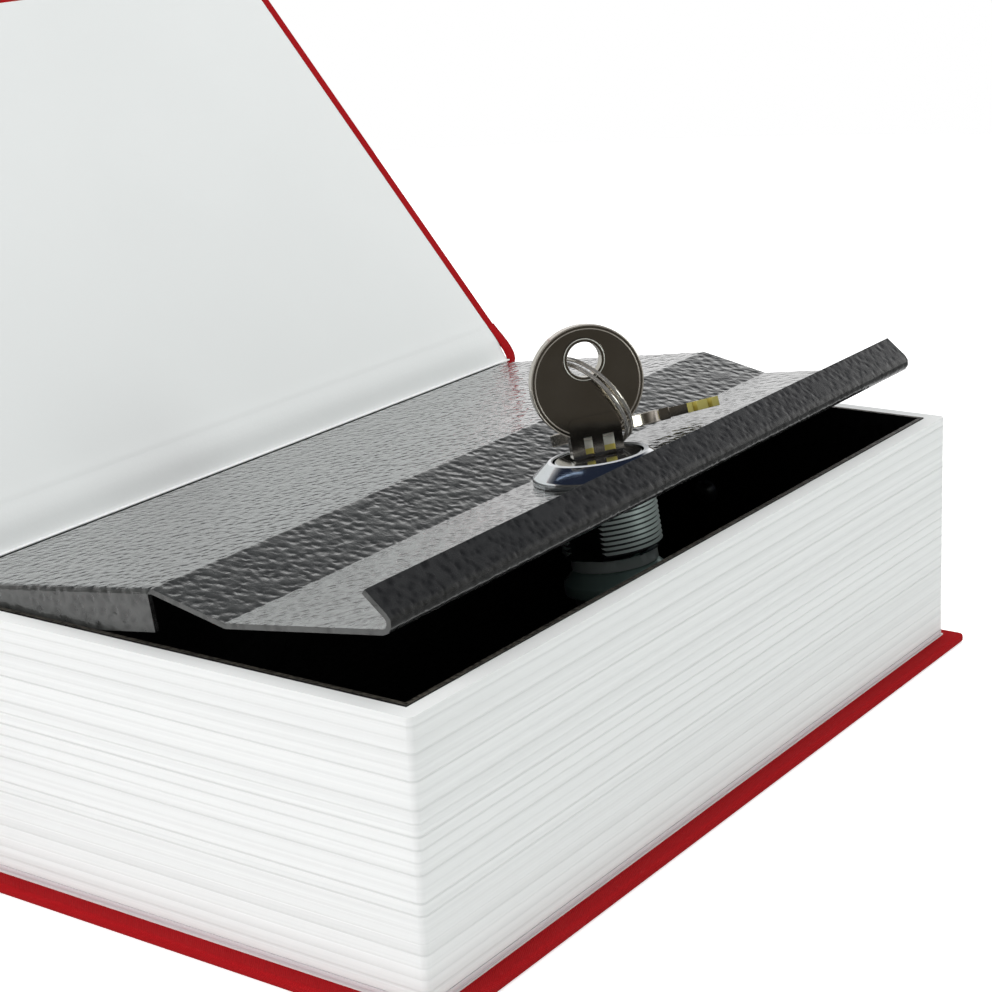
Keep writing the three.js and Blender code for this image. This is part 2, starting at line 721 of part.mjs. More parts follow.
// The cam points along the keyway, towards the front wall once the key has turned to locked
function cam() {
  const bottom = cam_top - cam_sheet;
  const tip = bar(cam_width / 2, bottom, cam_top, 28).translate([cam_reach - cam_width / 2, 0, 0]);
  const arm = brick(0, cam_reach - cam_width / 2, -cam_width / 2, cam_width / 2, bottom, cam_top);
  const hub = bar(cam_hub_radius, bottom, cam_top, 36);
  return piece("cam", cut(join(hub, arm, tip), squareHole(bottom, cam_top)), zinc);
}

function camWasher() {
  const bottom = cam_washer_top - washer_sheet;
  const hole = screw_radius + running_gap;
  return piece("cam_washer", turnedRing([[hole, bottom], [cam_washer_radius, bottom],
    [cam_washer_radius, cam_washer_top], [hole, cam_washer_top]], 28), zinc);
}

function camScrew() {
  const bottom = screw_head_top - screw_head_height;
  const round = screw_head_height / 3;
  const body = turned([[0, bottom], [screw_head_radius - round, bottom], [screw_head_radius, bottom + round],
    [screw_head_radius, screw_head_top], [screw_radius, screw_head_top],
    [screw_radius, screw_head_top + screw_length], [0, screw_head_top + screw_length]], 24);
  const arm = screw_head_radius * screw_recess_share;
  const half = screw_recess_width / 2;
  const deep = bottom + screw_recess_depth;
  const recess = join(brick(-arm, arm, -half, half, bottom - overrun, deep),
    brick(-half, half, -arm, arm, bottom - overrun, deep));
  return piece("cam_screw", cut(body, recess), zinc);
}

// A flat key in the plug's axes: width along X, thickness along Y, bow up
function keySolid() {
  const half = key_sheet / 2;
  const plate_z = plug_face_height + seat_gap + running_gap;
  const facing = (solid) => solid.rotate([90, 0, 0]);
  const disc = (radius, sheet, z, sides) => facing(bar(radius, -sheet / 2, sheet / 2, sides)).translate([0, 0, z]);
  const rim_sheet = key_sheet + 2 * bow_rim_rise;
  const bow = cut(
    disc(key_bow_radius, rim_sheet, key_bow_height, 64),
    disc(key_bow_radius - bow_rim_width, rim_sheet + overrun, key_bow_height, 64),
  ).add(disc(key_bow_radius - bow_rim_width / 2, key_sheet, key_bow_height, 64));
  const boss = disc(key_hole_radius + coined_rim_width, key_sheet + 2 * coined_rim_rise, key_hole_height, 40);
  const hole = disc(key_hole_radius, key_sheet + 2 * overrun, key_hole_height, 40);
  const shoulder_shape = new THREE.Shape();
  const side = shoulder_width / 2;
  const top = plate_z + shoulder_height;
  shoulder_shape.moveTo(-side, plate_z);
  shoulder_shape.lineTo(side, plate_z);
  shoulder_shape.lineTo(side, top - shoulder_corner);
  shoulder_shape.absarc(side - shoulder_corner, top - shoulder_corner, shoulder_corner, 0, 90 * degree);
  shoulder_shape.lineTo(-side + shoulder_corner, top);
  shoulder_shape.absarc(-side + shoulder_corner, top - shoulder_corner, shoulder_corner, 90 * degree, 180 * degree);
  const shoulder = facing(prism(shoulder_shape, shoulder_sheet, 5)).translate([0, shoulder_sheet / 2, 0]);
  const tip = plug_face_height + seat_gap - blade_length;
  const edge = blade_width / 2;
  const blade_shape = new THREE.Shape([
    [-edge, plate_z + seat_gap], [-edge, tip + blade_tip_chamfer], [-edge + blade_tip_chamfer, tip],
    [edge - blade_tip_chamfer, tip], [edge, tip + blade_tip_chamfer], [edge, plate_z + seat_gap],
  ].map(([x, z]) => new THREE.Vector2(x, z)));
  const blade = facing(prism(blade_shape, key_sheet, 1)).translate([0, half, 0]);
  const body = join(bow, boss, shoulder, blade);
  return cut(body, hole, ...bladeCuts(tip), ...bladeGrooves(tip));
}

// The steps filed in both edges of the blade, one pair for each wafer
function bladeCuts(tip) {
  return waferDepths().filter((z) => z > tip + blade_tip_chamfer).map((z, i) => {
    const edge = blade_width / 2;
    const side = i % 2 === 0 ? 1 : -1;
    const deep = side * (edge - cut_depth);
    const out = side * (edge + overrun);
    return brick(Math.min(deep, out), Math.max(deep, out), -key_sheet, key_sheet, z - cut_width / 2,
      z + cut_width / 2);
  });
}

// The milled grooves that run out on the shoulder, two on one face and one on the other
function bladeGrooves(tip) {
  const face = shoulder_sheet / 2 + overrun;
  const floor = key_sheet / 2 - key_groove_depth;
  const groove = (middle, width, y0, y1) => brick(middle - width / 2, middle + width / 2, y0, y1, tip - overrun,
    key_groove_height);
  return [
    groove(-near_groove_offset, near_groove_width, -face, -floor),
    groove(far_groove_offset, far_groove_width, -face, -floor),
    groove(near_groove_offset / 2, near_groove_width, floor, face),
  ];
}

// The split ring: two turns of wire side by side, with one crossing, as a single open-ended tube
class RingPath extends THREE.Curve {
  getPoint(t, target = new THREE.Vector3()) {
    const wound = t * ring_sweep;
    const share = THREE.MathUtils.smoothstep(wound, 2 * Math.PI - ring_crossing_angle, 2 * Math.PI);
    const angle = ring_start_angle + wound;
    return target.set(ring_radius * Math.cos(angle), ring_radius * Math.sin(angle), (share - 0.5) * ring_pitch);
  }
}

function keyRingGeometry() {
  const wire = new THREE.Shape(Array.from({ length: wire_sides }, (_, i) => {
    const angle = (360 * degree * i) / wire_sides;
    return new THREE.Vector2(Math.cos(angle), Math.sin(angle)).multiplyScalar(ring_wire / 2);
  }));
  const steps = Math.round((ring_sweep / (360 * degree)) * ring_steps_per_turn);
  return new THREE.ExtrudeGeometry(wire, { steps, extrudePath: new RingPath() });
}

// Least distance between the wire's two turns, on points along its path
function ringSelfGap() {
  const path = new RingPath();
  const count = 480;
  const points = Array.from({ length: count + 1 }, (_, i) => path.getPoint(i / count));
  const turn = Math.round(count / 4);
  let least = Infinity;
  for (let i = 0; i <= count; i += 1) {
    for (let j = i + turn; j <= count; j += 1) {
      least = Math.min(least, points[i].distanceTo(points[j]));
    }
  }
  return least - ring_wire;
}

// Axes of the ring in the lock's own frame: it hangs through the hole of the key that is in the lock
function ringFrame() {
  const width = new THREE.Vector3(Math.sin(key_turn_angle), Math.cos(key_turn_angle), 0);
  const face = new THREE.Vector3(Math.cos(key_turn_angle), -Math.sin(key_turn_angle), 0);
  const up = new THREE.Vector3(0, 0, 1);
  const seat = up.clone().multiplyScalar(key_hole_height + ring_seat_shares[1] * key_hole_radius);
  seat.addScaledVector(width, ring_seat_shares[0] * key_hole_radius);
  const along = face.clone().multiplyScalar(Math.cos(ring_yaw) * Math.cos(ring_pitch_angle));
  along.addScaledVector(width, Math.sin(ring_yaw) * Math.cos(ring_pitch_angle));
  along.addScaledVector(up, Math.sin(ring_pitch_angle));
  const down = up.clone().negate().addScaledVector(along, up.dot(along)).normalize();
  const side = new THREE.Vector3().crossVectors(along, down);
  const inward = down.multiplyScalar(Math.cos(ring_roll)).addScaledVector(side, Math.sin(ring_roll));
  const outward = inward.clone().negate();
  const centre = seat.clone().addScaledVector(inward, ring_radius);
  return { centre, outward, along, axis: new THREE.Vector3().crossVectors(outward, along) };
}

function keyRing() {
  const { centre, outward, along, axis } = ringFrame();
  const mesh = new THREE.Mesh(keyRingGeometry(), spring_steel);
  mesh.name = "key_ring";
  mesh.applyMatrix4(new THREE.Matrix4().makeBasis(outward, along, axis).setPosition(centre));
  return mesh;
}

// The spare key hangs on the ring by its own hole and lies along the trough
function spareKey() {
  const { centre, outward, along } = ringFrame();
  const heading = new THREE.Vector3(Math.sin(spare_heading) * Math.cos(spare_dip),
    Math.cos(spare_heading) * Math.cos(spare_dip), Math.sin(spare_dip));
  const level = new THREE.Vector3().crossVectors(heading, new THREE.Vector3(0, 0, 1)).normalize();
  const lift = new THREE.Vector3().crossVectors(level, heading);
  const width = level.multiplyScalar(Math.cos(spare_bank)).addScaledVector(lift, Math.sin(spare_bank));
  const bow_up = heading.clone().negate();
  const face = new THREE.Vector3().crossVectors(bow_up, width);
  const hole = centre.clone().addScaledVector(outward, ring_radius * Math.cos(spare_ring_angle));
  hole.addScaledVector(along, ring_radius * Math.sin(spare_ring_angle));
  hole.addScaledVector(heading, spare_hole_shares[0] * key_hole_radius);
  hole.addScaledVector(width, spare_hole_shares[1] * key_hole_radius);
  const mesh = piece("spare_key", keySolid(), nickel);
  const place = new THREE.Matrix4().makeBasis(width, face, bow_up);
  const offset = bow_up.clone().multiplyScalar(-key_hole_height);
  mesh.applyMatrix4(place.setPosition(hole.add(offset)));
  return mesh;
}

const book = new THREE.Group();
book.add(caseCloth(), backBoard(), backEndpaper(), spineBoard(), frontJointCloth(), jointEndpaper());
book.add(pageBase(), pageBlock(), steelBox(), strikePlate(), ...strikeRivets(), ...lidPivots(), ...boxRivets());
book.add(frontCover());

const lid_group = new THREE.Group();
lid_group.position.set(pivot_x, 0, pivot_z);
lid_group.rotation.y = -lid_ajar_angle;
lid_group.add(lid());
book.add(lid_group);

const lock_group = new THREE.Group();
lock_group.position.set(lock_x, lock_from_middle, trough_rise);
lock_group.add(lockHousing(), lockWasher(), lockNut());
lid_group.add(lock_group);

const plug_group = new THREE.Group();
plug_group.rotation.z = 90 * degree - key_turn_angle;
plug_group.add(lockPlug(), ...wafers(), ...waferSprings(), camCollar(), cam(), camWasher(), camScrew());
plug_group.add(piece("key", keySolid(), nickel));
lock_group.add(plug_group);

lock_group.add(keyRing(), spareKey());
console.log(`least gap between the ring's turns: ${ringSelfGap().toFixed(2)} mm`);

export default book;
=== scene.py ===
import math

import bmesh
import bpy
from mathutils import Matrix, Vector, noise


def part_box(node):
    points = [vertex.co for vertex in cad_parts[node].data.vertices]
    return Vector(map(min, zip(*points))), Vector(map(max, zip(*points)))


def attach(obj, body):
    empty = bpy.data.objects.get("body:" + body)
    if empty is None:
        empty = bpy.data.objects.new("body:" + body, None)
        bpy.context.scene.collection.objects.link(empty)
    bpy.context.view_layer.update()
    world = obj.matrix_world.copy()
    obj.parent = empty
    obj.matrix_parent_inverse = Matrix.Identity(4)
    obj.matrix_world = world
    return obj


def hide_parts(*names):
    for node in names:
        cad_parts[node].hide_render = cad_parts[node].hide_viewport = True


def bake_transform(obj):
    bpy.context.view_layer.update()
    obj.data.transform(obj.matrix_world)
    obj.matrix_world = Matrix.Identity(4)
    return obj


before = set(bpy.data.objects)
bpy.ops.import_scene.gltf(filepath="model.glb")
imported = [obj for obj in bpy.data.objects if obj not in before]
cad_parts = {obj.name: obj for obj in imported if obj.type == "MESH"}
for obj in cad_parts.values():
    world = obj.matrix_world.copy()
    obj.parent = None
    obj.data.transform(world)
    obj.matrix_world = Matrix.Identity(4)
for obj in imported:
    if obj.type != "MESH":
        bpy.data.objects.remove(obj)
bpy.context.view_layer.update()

# The studio: a white table under soft lamps, seen from the near corner of the book.
# The backdrop is plain white, and the room behind the camera is left dim for the metal to mirror.
camera_place = Vector((0.236775, -0.312851, 0.16978))
camera_right = Vector((0.81399524, 0.57894498, -0.04727004))
camera_up = Vector((-0.13524476, 0.26803584, 0.95386878))
camera_back = Vector((0.56490761, -0.77005162, 0.29647917))
focal_length = 82.05
sensor_width = 36.0
nearest_seen = 0.01
farthest_seen = 20.0
table_radius = 0.75
table_sides = 96
backdrop_glow = 0.62
table_light = 0.86
table_dim = 0.09
room_light = 0.46
warm_dark = (0.062, 0.058, 0.05, 1)
cold_dark = (0.014, 0.019, 0.034, 1)
dim_side = Vector((0.72, -0.69, 0.0))


def add_node(tree, kind, inputs=None, **settings):
    """One shader node, with its settings, and its inputs set or linked."""
    made = tree.nodes.new(kind)
    for name, value in settings.items():
        setattr(made, name, value)
    for socket, value in (inputs or {}).items():
        if isinstance(value, bpy.types.NodeSocket):
            tree.links.new(value, made.inputs[socket])
        else:
            made.inputs[socket].default_value = value
    return made


def maths(tree, operation, first, second=0.0):
    """One operation on two values."""
    return add_node(tree, "ShaderNodeMath", {0: first, 1: second}, operation=operation).outputs[0]


def spread(tree, value, low, high, to_low=0.0, to_high=1.0):
    """A value eased from one range to another."""
    made = add_node(tree, "ShaderNodeMapRange", {0: value, 1: low, 2: high, 3: to_low, 4: to_high})
    made.interpolation_type = "SMOOTHSTEP"
    return made.outputs[0]


def mixed(tree, share, first, second):
    """A colour between two colours."""
    made = add_node(tree, "ShaderNodeMix", data_type="RGBA")
    for socket, value in ((made.inputs[0], share), (made.inputs[6], first), (made.inputs[7], second)):
        if isinstance(value, bpy.types.NodeSocket):
            tree.links.new(value, socket)
        else:
            socket.default_value = value
    return made.outputs[2]


def new_material(name, **sockets):
    """A material and its shader, with the values that are the same all over the surface."""
    made = bpy.data.materials.new(name)
    made.use_nodes = True
    shader = made.node_tree.nodes["Principled BSDF"]
    for socket, value in sockets.items():
        shader.inputs[socket.replace("_", " ")].default_value = value
    return made, made.node_tree, shader


def grey(level):
    return (level, level, level, 1.0)


def own_place(tree):
    """The place of a point in the frame of its piece."""
    return add_node(tree, "ShaderNodeTexCoord").outputs["Object"]


def mesh_piece(name, mesh, material):
    """A bmesh made an object at the origin, in the whole model's frame."""
    data = bpy.data.meshes.new(name)
    mesh.to_mesh(data)
    mesh.free()
    made = bpy.data.objects.new(name, data)
    bpy.context.scene.collection.objects.link(made)
    data.materials.append(material)
    return made


camera = bpy.data.objects.new("camera", bpy.data.cameras.new("camera"))
camera.data.lens = focal_length
camera.data.sensor_width = sensor_width
camera.data.clip_start = nearest_seen
camera.data.clip_end = farthest_seen
turn = Matrix((camera_right, camera_up, camera_back)).transposed()
camera.matrix_world = Matrix.Translation(camera_place) @ turn.to_4x4()
bpy.context.scene.collection.objects.link(camera)
bpy.context.scene.camera = camera

table_paint, tree, shader = new_material("table_white", Roughness=0.9, Specular_IOR_Level=0.0)
seen = add_node(tree, "ShaderNodeLightPath")
backdrop = maths(tree, "MAXIMUM", seen.outputs["Is Camera Ray"], seen.outputs["Is Transmission Ray"])
tree.links.new(maths(tree, "MULTIPLY", backdrop, backdrop_glow), shader.inputs["Emission Strength"])
across = add_node(tree, "ShaderNodeSeparateXYZ", {0: own_place(tree)}).outputs[0]
# Seen in the metal, the table is painted dark on its +x side: a painted shade in its reflection only.
dim_part = maths(tree, "MULTIPLY", seen.outputs["Is Glossy Ray"], spread(tree, across, -0.02, 0.12))
tree.links.new(mixed(tree, dim_part, grey(table_light), grey(table_dim)), shader.inputs["Base Color"])
shader.inputs["Emission Color"].default_value = grey(1.0)
mesh = bmesh.new()
bmesh.ops.create_circle(mesh, cap_ends=True, radius=table_radius, segments=table_sides)
table = mesh_piece("table", mesh, table_paint)

world = bpy.data.worlds.new("studio")
bpy.context.scene.world = world
world.use_nodes = True
tree = world.node_tree
ground = tree.nodes["Background"]
seen = add_node(tree, "ShaderNodeLightPath")
way = add_node(tree, "ShaderNodeTexCoord").outputs["Generated"]
height = add_node(tree, "ShaderNodeSeparateXYZ", {0: way}).outputs[2]
facing = add_node(tree, "ShaderNodeVectorMath", {0: way, 1: dim_side}, operation="DOT_PRODUCT")
low_light = spread(tree, height, 0.22, 0.62, 1.0, 0.0)
room = maths(tree, "MULTIPLY", low_light, spread(tree, facing.outputs["Value"], -0.6, 0.05, 1.0, 0.0))
shade = mixed(tree, spread(tree, height, 0.1, 0.6), warm_dark, cold_dark)
mirrored = mixed(tree, seen.outputs["Is Glossy Ray"], grey(room_light), mixed(tree, room, shade, grey(1.0)))
tree.links.new(mixed(tree, seen.outputs["Is Camera Ray"], mirrored, grey(1.0)), ground.inputs["Color"])


def soft_lamp(name, place, aim, width, height, power, tint=(1.0, 1.0, 1.0), mirrored=True):
    """A square softbox that faces the book, seen in the metal or not."""
    light = bpy.data.lights.new(name, "AREA")
    light.shape = "RECTANGLE"
    light.size, light.size_y = width, height
    light.energy = power
    light.color = tint
    lamp = bpy.data.objects.new(name, light)
    lamp.location = place
    lamp.rotation_mode = "QUATERNION"
    lamp.rotation_quaternion = (Vector(aim) - Vector(place)).to_track_quat("-Z", "Y")
    lamp.visible_glossy = mirrored
    bpy.context.scene.collection.objects.link(lamp)


soft_lamp("lamp_tail", (-0.35, -1.1, 0.75), (0, 0, 0.03), 0.8, 0.6, 9.2, mirrored=False)
soft_lamp("lamp_top", (-0.15, 0.35, 1.3), (0, 0, 0.05), 0.9, 0.9, 7.0, mirrored=False)
soft_lamp("lamp_fore", (1.15, 0.35, 0.36), (0, 0, 0.04), 0.4, 0.4, 3.5, (0.93, 1.0, 0.97))
soft_lamp("lamp_strip", (-0.74, 0.05, 0.97), (0.028, 0, 0.058), 0.03, 0.5, 0.04, (0.6, 0.76, 1.0))

# The stiff boards of the back cover and the spine, pressed grey card.
# They are cut a little smaller than the cloth, which is glued round them.
millimetre = 0.001
page_gap = 0.1 * millimetre
cover_raise = 0.08 * millimetre
case_low, case_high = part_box("case_cloth")
spine_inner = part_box("page_block")[0].x - page_gap
back_cover_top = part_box("back_board")[1].z + cover_raise
skin = 0.35 * millimetre
card_slack = 0.08 * millimetre
under_cloth = skin + card_slack
card_corner = 0.2 * millimetre
card_relief = 0.08 * millimetre
card_dark = (0.2, 0.195, 0.18, 1)
card_light = (0.33, 0.32, 0.29, 1)


def noise_texture(tree, place, scale, detail):
    """Soft noise all through space."""
    return add_node(tree, "ShaderNodeTexNoise", {"Vector": place, "Scale": scale, "Detail": detail})


def roughen(tree, shader, height, distance, strength=1.0):
    """Fine relief on a surface, as deep as the distance where the height is 1."""
    relief = add_node(tree, "ShaderNodeBump", {"Height": height, "Distance": distance, "Strength": strength})
    tree.links.new(relief.outputs[0], shader.inputs["Normal"])


def block(low, high):
    """A bmesh cube stretched between two corners."""
    mesh = bmesh.new()
    bmesh.ops.create_cube(mesh, size=1.0)
    low, high = Vector(low), Vector(high)
    bmesh.ops.scale(mesh, vec=high - low, verts=mesh.verts)
    bmesh.ops.translate(mesh, vec=(low + high) / 2, verts=mesh.verts)
    return mesh


def round_edges(mesh, edges, radius, segments=3):
    """Rounds some edges of a mesh."""
    bmesh.ops.bevel(mesh, geom=list(edges), offset=radius, segments=segments, profile=0.5,
                    affect="EDGES", material=-1, clamp_overlap=True)


def smooth_piece(piece, angle=40, weighted=True):
    """Smooth shading that keeps the sharp edges, with flat faces kept flat."""
    for face in piece.data.polygons:
        face.use_smooth = True
    piece.data.set_sharp_from_angle(angle=math.radians(angle))
    if weighted:
        piece.modifiers.new("flats", "WEIGHTED_NORMAL").keep_sharp = True
    return piece


card, tree, shader = new_material("grey_card", Roughness=0.9)
pulp = noise_texture(tree, own_place(tree), 900.0, 6.0).outputs["Fac"]
tree.links.new(mixed(tree, pulp, card_dark, card_light), shader.inputs["Base Color"])
roughen(tree, shader, pulp, card_relief)

mesh = block((spine_inner, case_low.y + under_cloth, case_low.z + under_cloth),
             (case_high.x - under_cloth, case_high.y - under_cloth, back_cover_top - under_cloth))
round_edges(mesh, mesh.edges, card_corner, 2)
back_board = smooth_piece(mesh_piece("back_card", mesh, card))
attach(back_board, "case")
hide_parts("back_board")

mesh = block((case_low.x + under_cloth, case_low.y + under_cloth, case_low.z + under_cloth),
             (spine_inner - under_cloth, case_high.y - under_cloth, case_high.z - under_cloth))
round_edges(mesh, mesh.edges, card_corner, 2)
spine_board = smooth_piece(mesh_piece("spine_card", mesh, card))
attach(spine_board, "case")
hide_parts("spine_board")

# Red book cloth, one skin glued round the back board and up the spine.
# Its edges are turned in over the boards, and the endpapers cover the raw ends of the turn-ins.
cloth_corner = 0.75 * millimetre
turn_in = 12 * millimetre
thread = 0.42 * millimetre
thread_wander = 0.25 * millimetre
weave_relief = 0.05 * millimetre
dye_dark = (0.37, 0.006, 0.009, 1)
dye_light = (0.46, 0.012, 0.016, 1)
gap_shade_red = (0.2, 0.002, 0.004, 1)
near = 0.001 * millimetre
squarely = 0.99
sharp_turn = 0.5


def vector_maths(tree, operation, first, second):
    """One operation on two vectors."""
    return add_node(tree, "ShaderNodeVectorMath", {0: first, 1: second}, operation=operation).outputs[0]


red_cloth, tree, shader = new_material("red_book_cloth", Roughness=0.8, Specular_IOR_Level=0.08)
weave_place = add_node(tree, "ShaderNodeUVMap", uv_map="weave").outputs[0]
slub = noise_texture(tree, weave_place, 260.0, 3.0)
wander = vector_maths(tree, "MULTIPLY", slub.outputs["Color"], (thread_wander,) * 3)
axes = add_node(tree, "ShaderNodeSeparateXYZ", {0: vector_maths(tree, "ADD", weave_place, wander)})
warp = maths(tree, "SINE", maths(tree, "MULTIPLY", axes.outputs[0], 2 * math.pi / thread))
weft = maths(tree, "SINE", maths(tree, "MULTIPLY", axes.outputs[1], 2 * math.pi / thread))
crossing = maths(tree, "MULTIPLY", warp, weft)
patches = noise_texture(tree, weave_place, 45.0, 5.0)
dye = mixed(tree, patches.outputs["Fac"], dye_dark, dye_light)
# Where the weave dips, the red is painted darker: painted shade in the hollows between the threads.
gap_shade = spread(tree, crossing, -1.0, 0.4, 0.3, 0.0)
tree.links.new(mixed(tree, gap_shade, dye, gap_shade_red), shader.inputs["Base Color"])
threads = maths(tree, "ADD", crossing, maths(tree, "MULTIPLY", slub.outputs["Fac"], 0.8))
roughen(tree, shader, threads, weave_relief, 0.8)


def lay_weave(mesh):
    """A map of the weave in metres, laid on each face along the two axes it lies flattest in."""
    layer = mesh.loops.layers.uv.new("weave")
    for face in mesh.faces:
        normal = face.normal
        drop = max(range(3), key=lambda i: abs(normal[i]))
        for loop in face.loops:
            loop[layer].uv = [c for i, c in enumerate(loop.vert.co) if i != drop]


def open_skin(mesh, inside, width):
    """Opens the covered side of a wrapped board, leaving the turn-ins."""
    bmesh.ops.inset_region(mesh, faces=inside, thickness=width, use_boundary=True, use_even_offset=True)
    bmesh.ops.delete(mesh, geom=inside, context="FACES")


def thicken(piece, thickness, offset=-1.0):
    """Gives a sheet its thickness, inwards from its outer side or, with no offset, half to each side."""
    wall = piece.modifiers.new("thickness", "SOLIDIFY")
    wall.thickness = thickness
    wall.offset = offset
    return piece


def cut_across(mesh, point, way):
    """New edges all round a mesh, where a plane square to a direction meets it."""
    everything = mesh.verts[:] + mesh.edges[:] + mesh.faces[:]
    bmesh.ops.bisect_plane(mesh, geom=everything, plane_co=point, plane_no=way)


mesh = block(case_low, (case_high.x, case_high.y, back_cover_top))
cut_across(mesh, (spine_inner, 0, 0), (1, 0, 0))
mesh.normal_update()
foot = [f for f in mesh.faces if f.normal.z > squarely and f.calc_center_median().x < spine_inner]
raised = bmesh.ops.extrude_discrete_faces(mesh, faces=foot)["faces"]
bmesh.ops.translate(mesh, vec=(0, 0, case_high.z - back_cover_top),
                    verts=list({v for f in raised for v in f.verts}))
mesh.normal_update()
outer = [e for e in mesh.edges if e.is_convex and e.calc_face_angle(0) > sharp_turn]
outer = [e for e in outer
         if not all(abs(v.co.x - spine_inner) < near and v.co.z > case_high.z - near for v in e.verts)]
round_edges(mesh, outer, cloth_corner, 4)
mesh.normal_update()
inside = [f for f in mesh.faces
          if f.normal.z > squarely and abs(f.calc_center_median().z - back_cover_top) < near]
inside += [f for f in mesh.faces
           if f.normal.x > squarely and abs(f.calc_center_median().x - spine_inner) < near]
open_skin(mesh, inside, turn_in)
lay_weave(mesh)
case_cloth = smooth_piece(thicken(mesh_piece("case_cloth_skin", mesh, red_cloth), skin))
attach(case_cloth, "case")
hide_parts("case_cloth")

# White endpaper pasted inside the back cover, under the glued page block.
# Only its edge shows, as a thin pale line between the red cloth and the pages.
paper_shadow = (0.82, 0.835, 0.832, 1)
paper_light = (0.865, 0.88, 0.877, 1)
paper_relief = 0.02 * millimetre

white_paper, tree, shader = new_material("white_endpaper", Roughness=0.62, Specular_IOR_Level=0.35)
place = own_place(tree)
fibres = noise_texture(tree, place, 1400.0, 8.0)
clouds = noise_texture(tree, place, 22.0, 3.0)
tree.links.new(mixed(tree, clouds.outputs["Fac"], paper_shadow, paper_light), shader.inputs["Base Color"])
roughen(tree, shader, fibres.outputs["Fac"], paper_relief)
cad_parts["back_endpaper"].data.materials[0] = white_paper

# The page block: a few hundred paper leaves glued into four walls round the steel box.
# The cut edges wave a little, and groups of leaves stand proud, so fine lines run along every side.
block_low, block_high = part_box("page_block")
wall_side = 3.1 * millimetre
block_corner = 1.2 * millimetre
leaf_layers = 76
leaf_wave = 0.04 * millimetre
section_pitch = 2.1 * millimetre
leaf_sag = 0.7 * millimetre
leaf_relief = 0.2 * millimetre
wave_along = 9
wave_across = 650
top_cuts = 44
page_shadow = (0.6, 0.61, 0.605, 1)
page_light = (0.89, 0.9, 0.895, 1)
base_shadow = (0.56, 0.55, 0.57, 1)
base_light = (0.76, 0.75, 0.77, 1)


def node_group(name, socket, kind, results):
    """An empty group of nodes: the group, the value it is given and the node that takes its results."""
    group = bpy.data.node_groups.new(name, "ShaderNodeTree")
    group.interface.new_socket(socket, in_out="INPUT", socket_type=kind)
    for result in results:
        group.interface.new_socket(result, in_out="OUTPUT", socket_type="NodeSocketFloat")
    return group, add_node(group, "NodeGroupInput").outputs[0], add_node(group, "NodeGroupOutput")


leaf_lines, place, result = node_group("leaf_lines", "Place", "NodeSocketVector", ("Relief", "Shade"))
sag = noise_texture(leaf_lines, place, 9.0, 1.0)
lift = vector_maths(leaf_lines, "MULTIPLY", sag.outputs["Color"], (0, 0, leaf_sag))
waved = vector_maths(leaf_lines, "ADD", place, lift)


def streaks(across, along, detail, seed):
    """Noise drawn out along the leaves."""
    drawn = vector_maths(leaf_lines, "MULTIPLY", waved, (along, along, across))
    inputs = {"Vector": drawn, "W": seed, "Scale": 1.0, "Detail": detail}
    return add_node(leaf_lines, "ShaderNodeTexNoise", inputs, noise_dimensions="4D").outputs["Fac"]


broad = streaks(950.0, 1.5, 1.0, 0.3)
fine = streaks(3200.0, 6.0, 2.0, 4.1)
level = add_node(leaf_lines, "ShaderNodeSeparateXYZ", {0: waved}).outputs[2]
drift = maths(leaf_lines, "MULTIPLY", streaks(240.0, 1.2, 0.0, 2.2), 5.0)
sections = maths(leaf_lines, "ADD", maths(leaf_lines, "MULTIPLY", level, 2 * math.pi / section_pitch), drift)
gaps = spread(leaf_lines, maths(leaf_lines, "SINE", sections), -1.0, -0.72, 1.0, 0.0)
gap_depth = spread(leaf_lines, streaks(520.0, 2.0, 0.0, 8.6), 0.35, 0.62, 0.4, 1.0)
line = maths(leaf_lines, "SUBTRACT", 1.0, maths(leaf_lines, "MULTIPLY", gaps, gap_depth))
broad_relief = maths(leaf_lines, "MULTIPLY", broad, 0.45)
relief = maths(leaf_lines, "ADD", broad_relief, maths(leaf_lines, "MULTIPLY", line, 0.7))
relief = maths(leaf_lines, "ADD", relief, maths(leaf_lines, "MULTIPLY", fine, 0.3))
bands = spread(leaf_lines, broad, 0.25, 0.7, 0.72, 1.0)
shade = maths(leaf_lines, "MULTIPLY", bands, spread(leaf_lines, line, 0.0, 1.0, 0.55, 1.0))
shade = maths(leaf_lines, "MULTIPLY", shade, 0.8)
shade = maths(leaf_lines, "ADD", shade, maths(leaf_lines, "MULTIPLY", fine, 0.2))
leaf_lines.links.new(relief, result.inputs[0])
leaf_lines.links.new(shade, result.inputs[1])


def page_material(name, shadow, light):
    """Cut paper edges between a shadow colour and a light one."""
    made, tree, shader = new_material(name, Roughness=0.8, Specular_IOR_Level=0.25)
    leaves = add_node(tree, "ShaderNodeGroup", node_tree=leaf_lines)
    tree.links.new(own_place(tree), leaves.inputs[0])
    tree.links.new(mixed(tree, leaves.outputs["Shade"], shadow, light), shader.inputs["Base Color"])
    roughen(tree, shader, leaves.outputs["Relief"], leaf_relief, 0.6)
    return made


def only(parts, kind):
    """The parts of one kind among the vertices, edges and faces an operator made."""
    return [part for part in parts if isinstance(part, kind)]


page_edges = page_material("page_edges", page_shadow, page_light)
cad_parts["page_base"].data.materials[0] = page_material("base_edges", base_shadow, base_light)

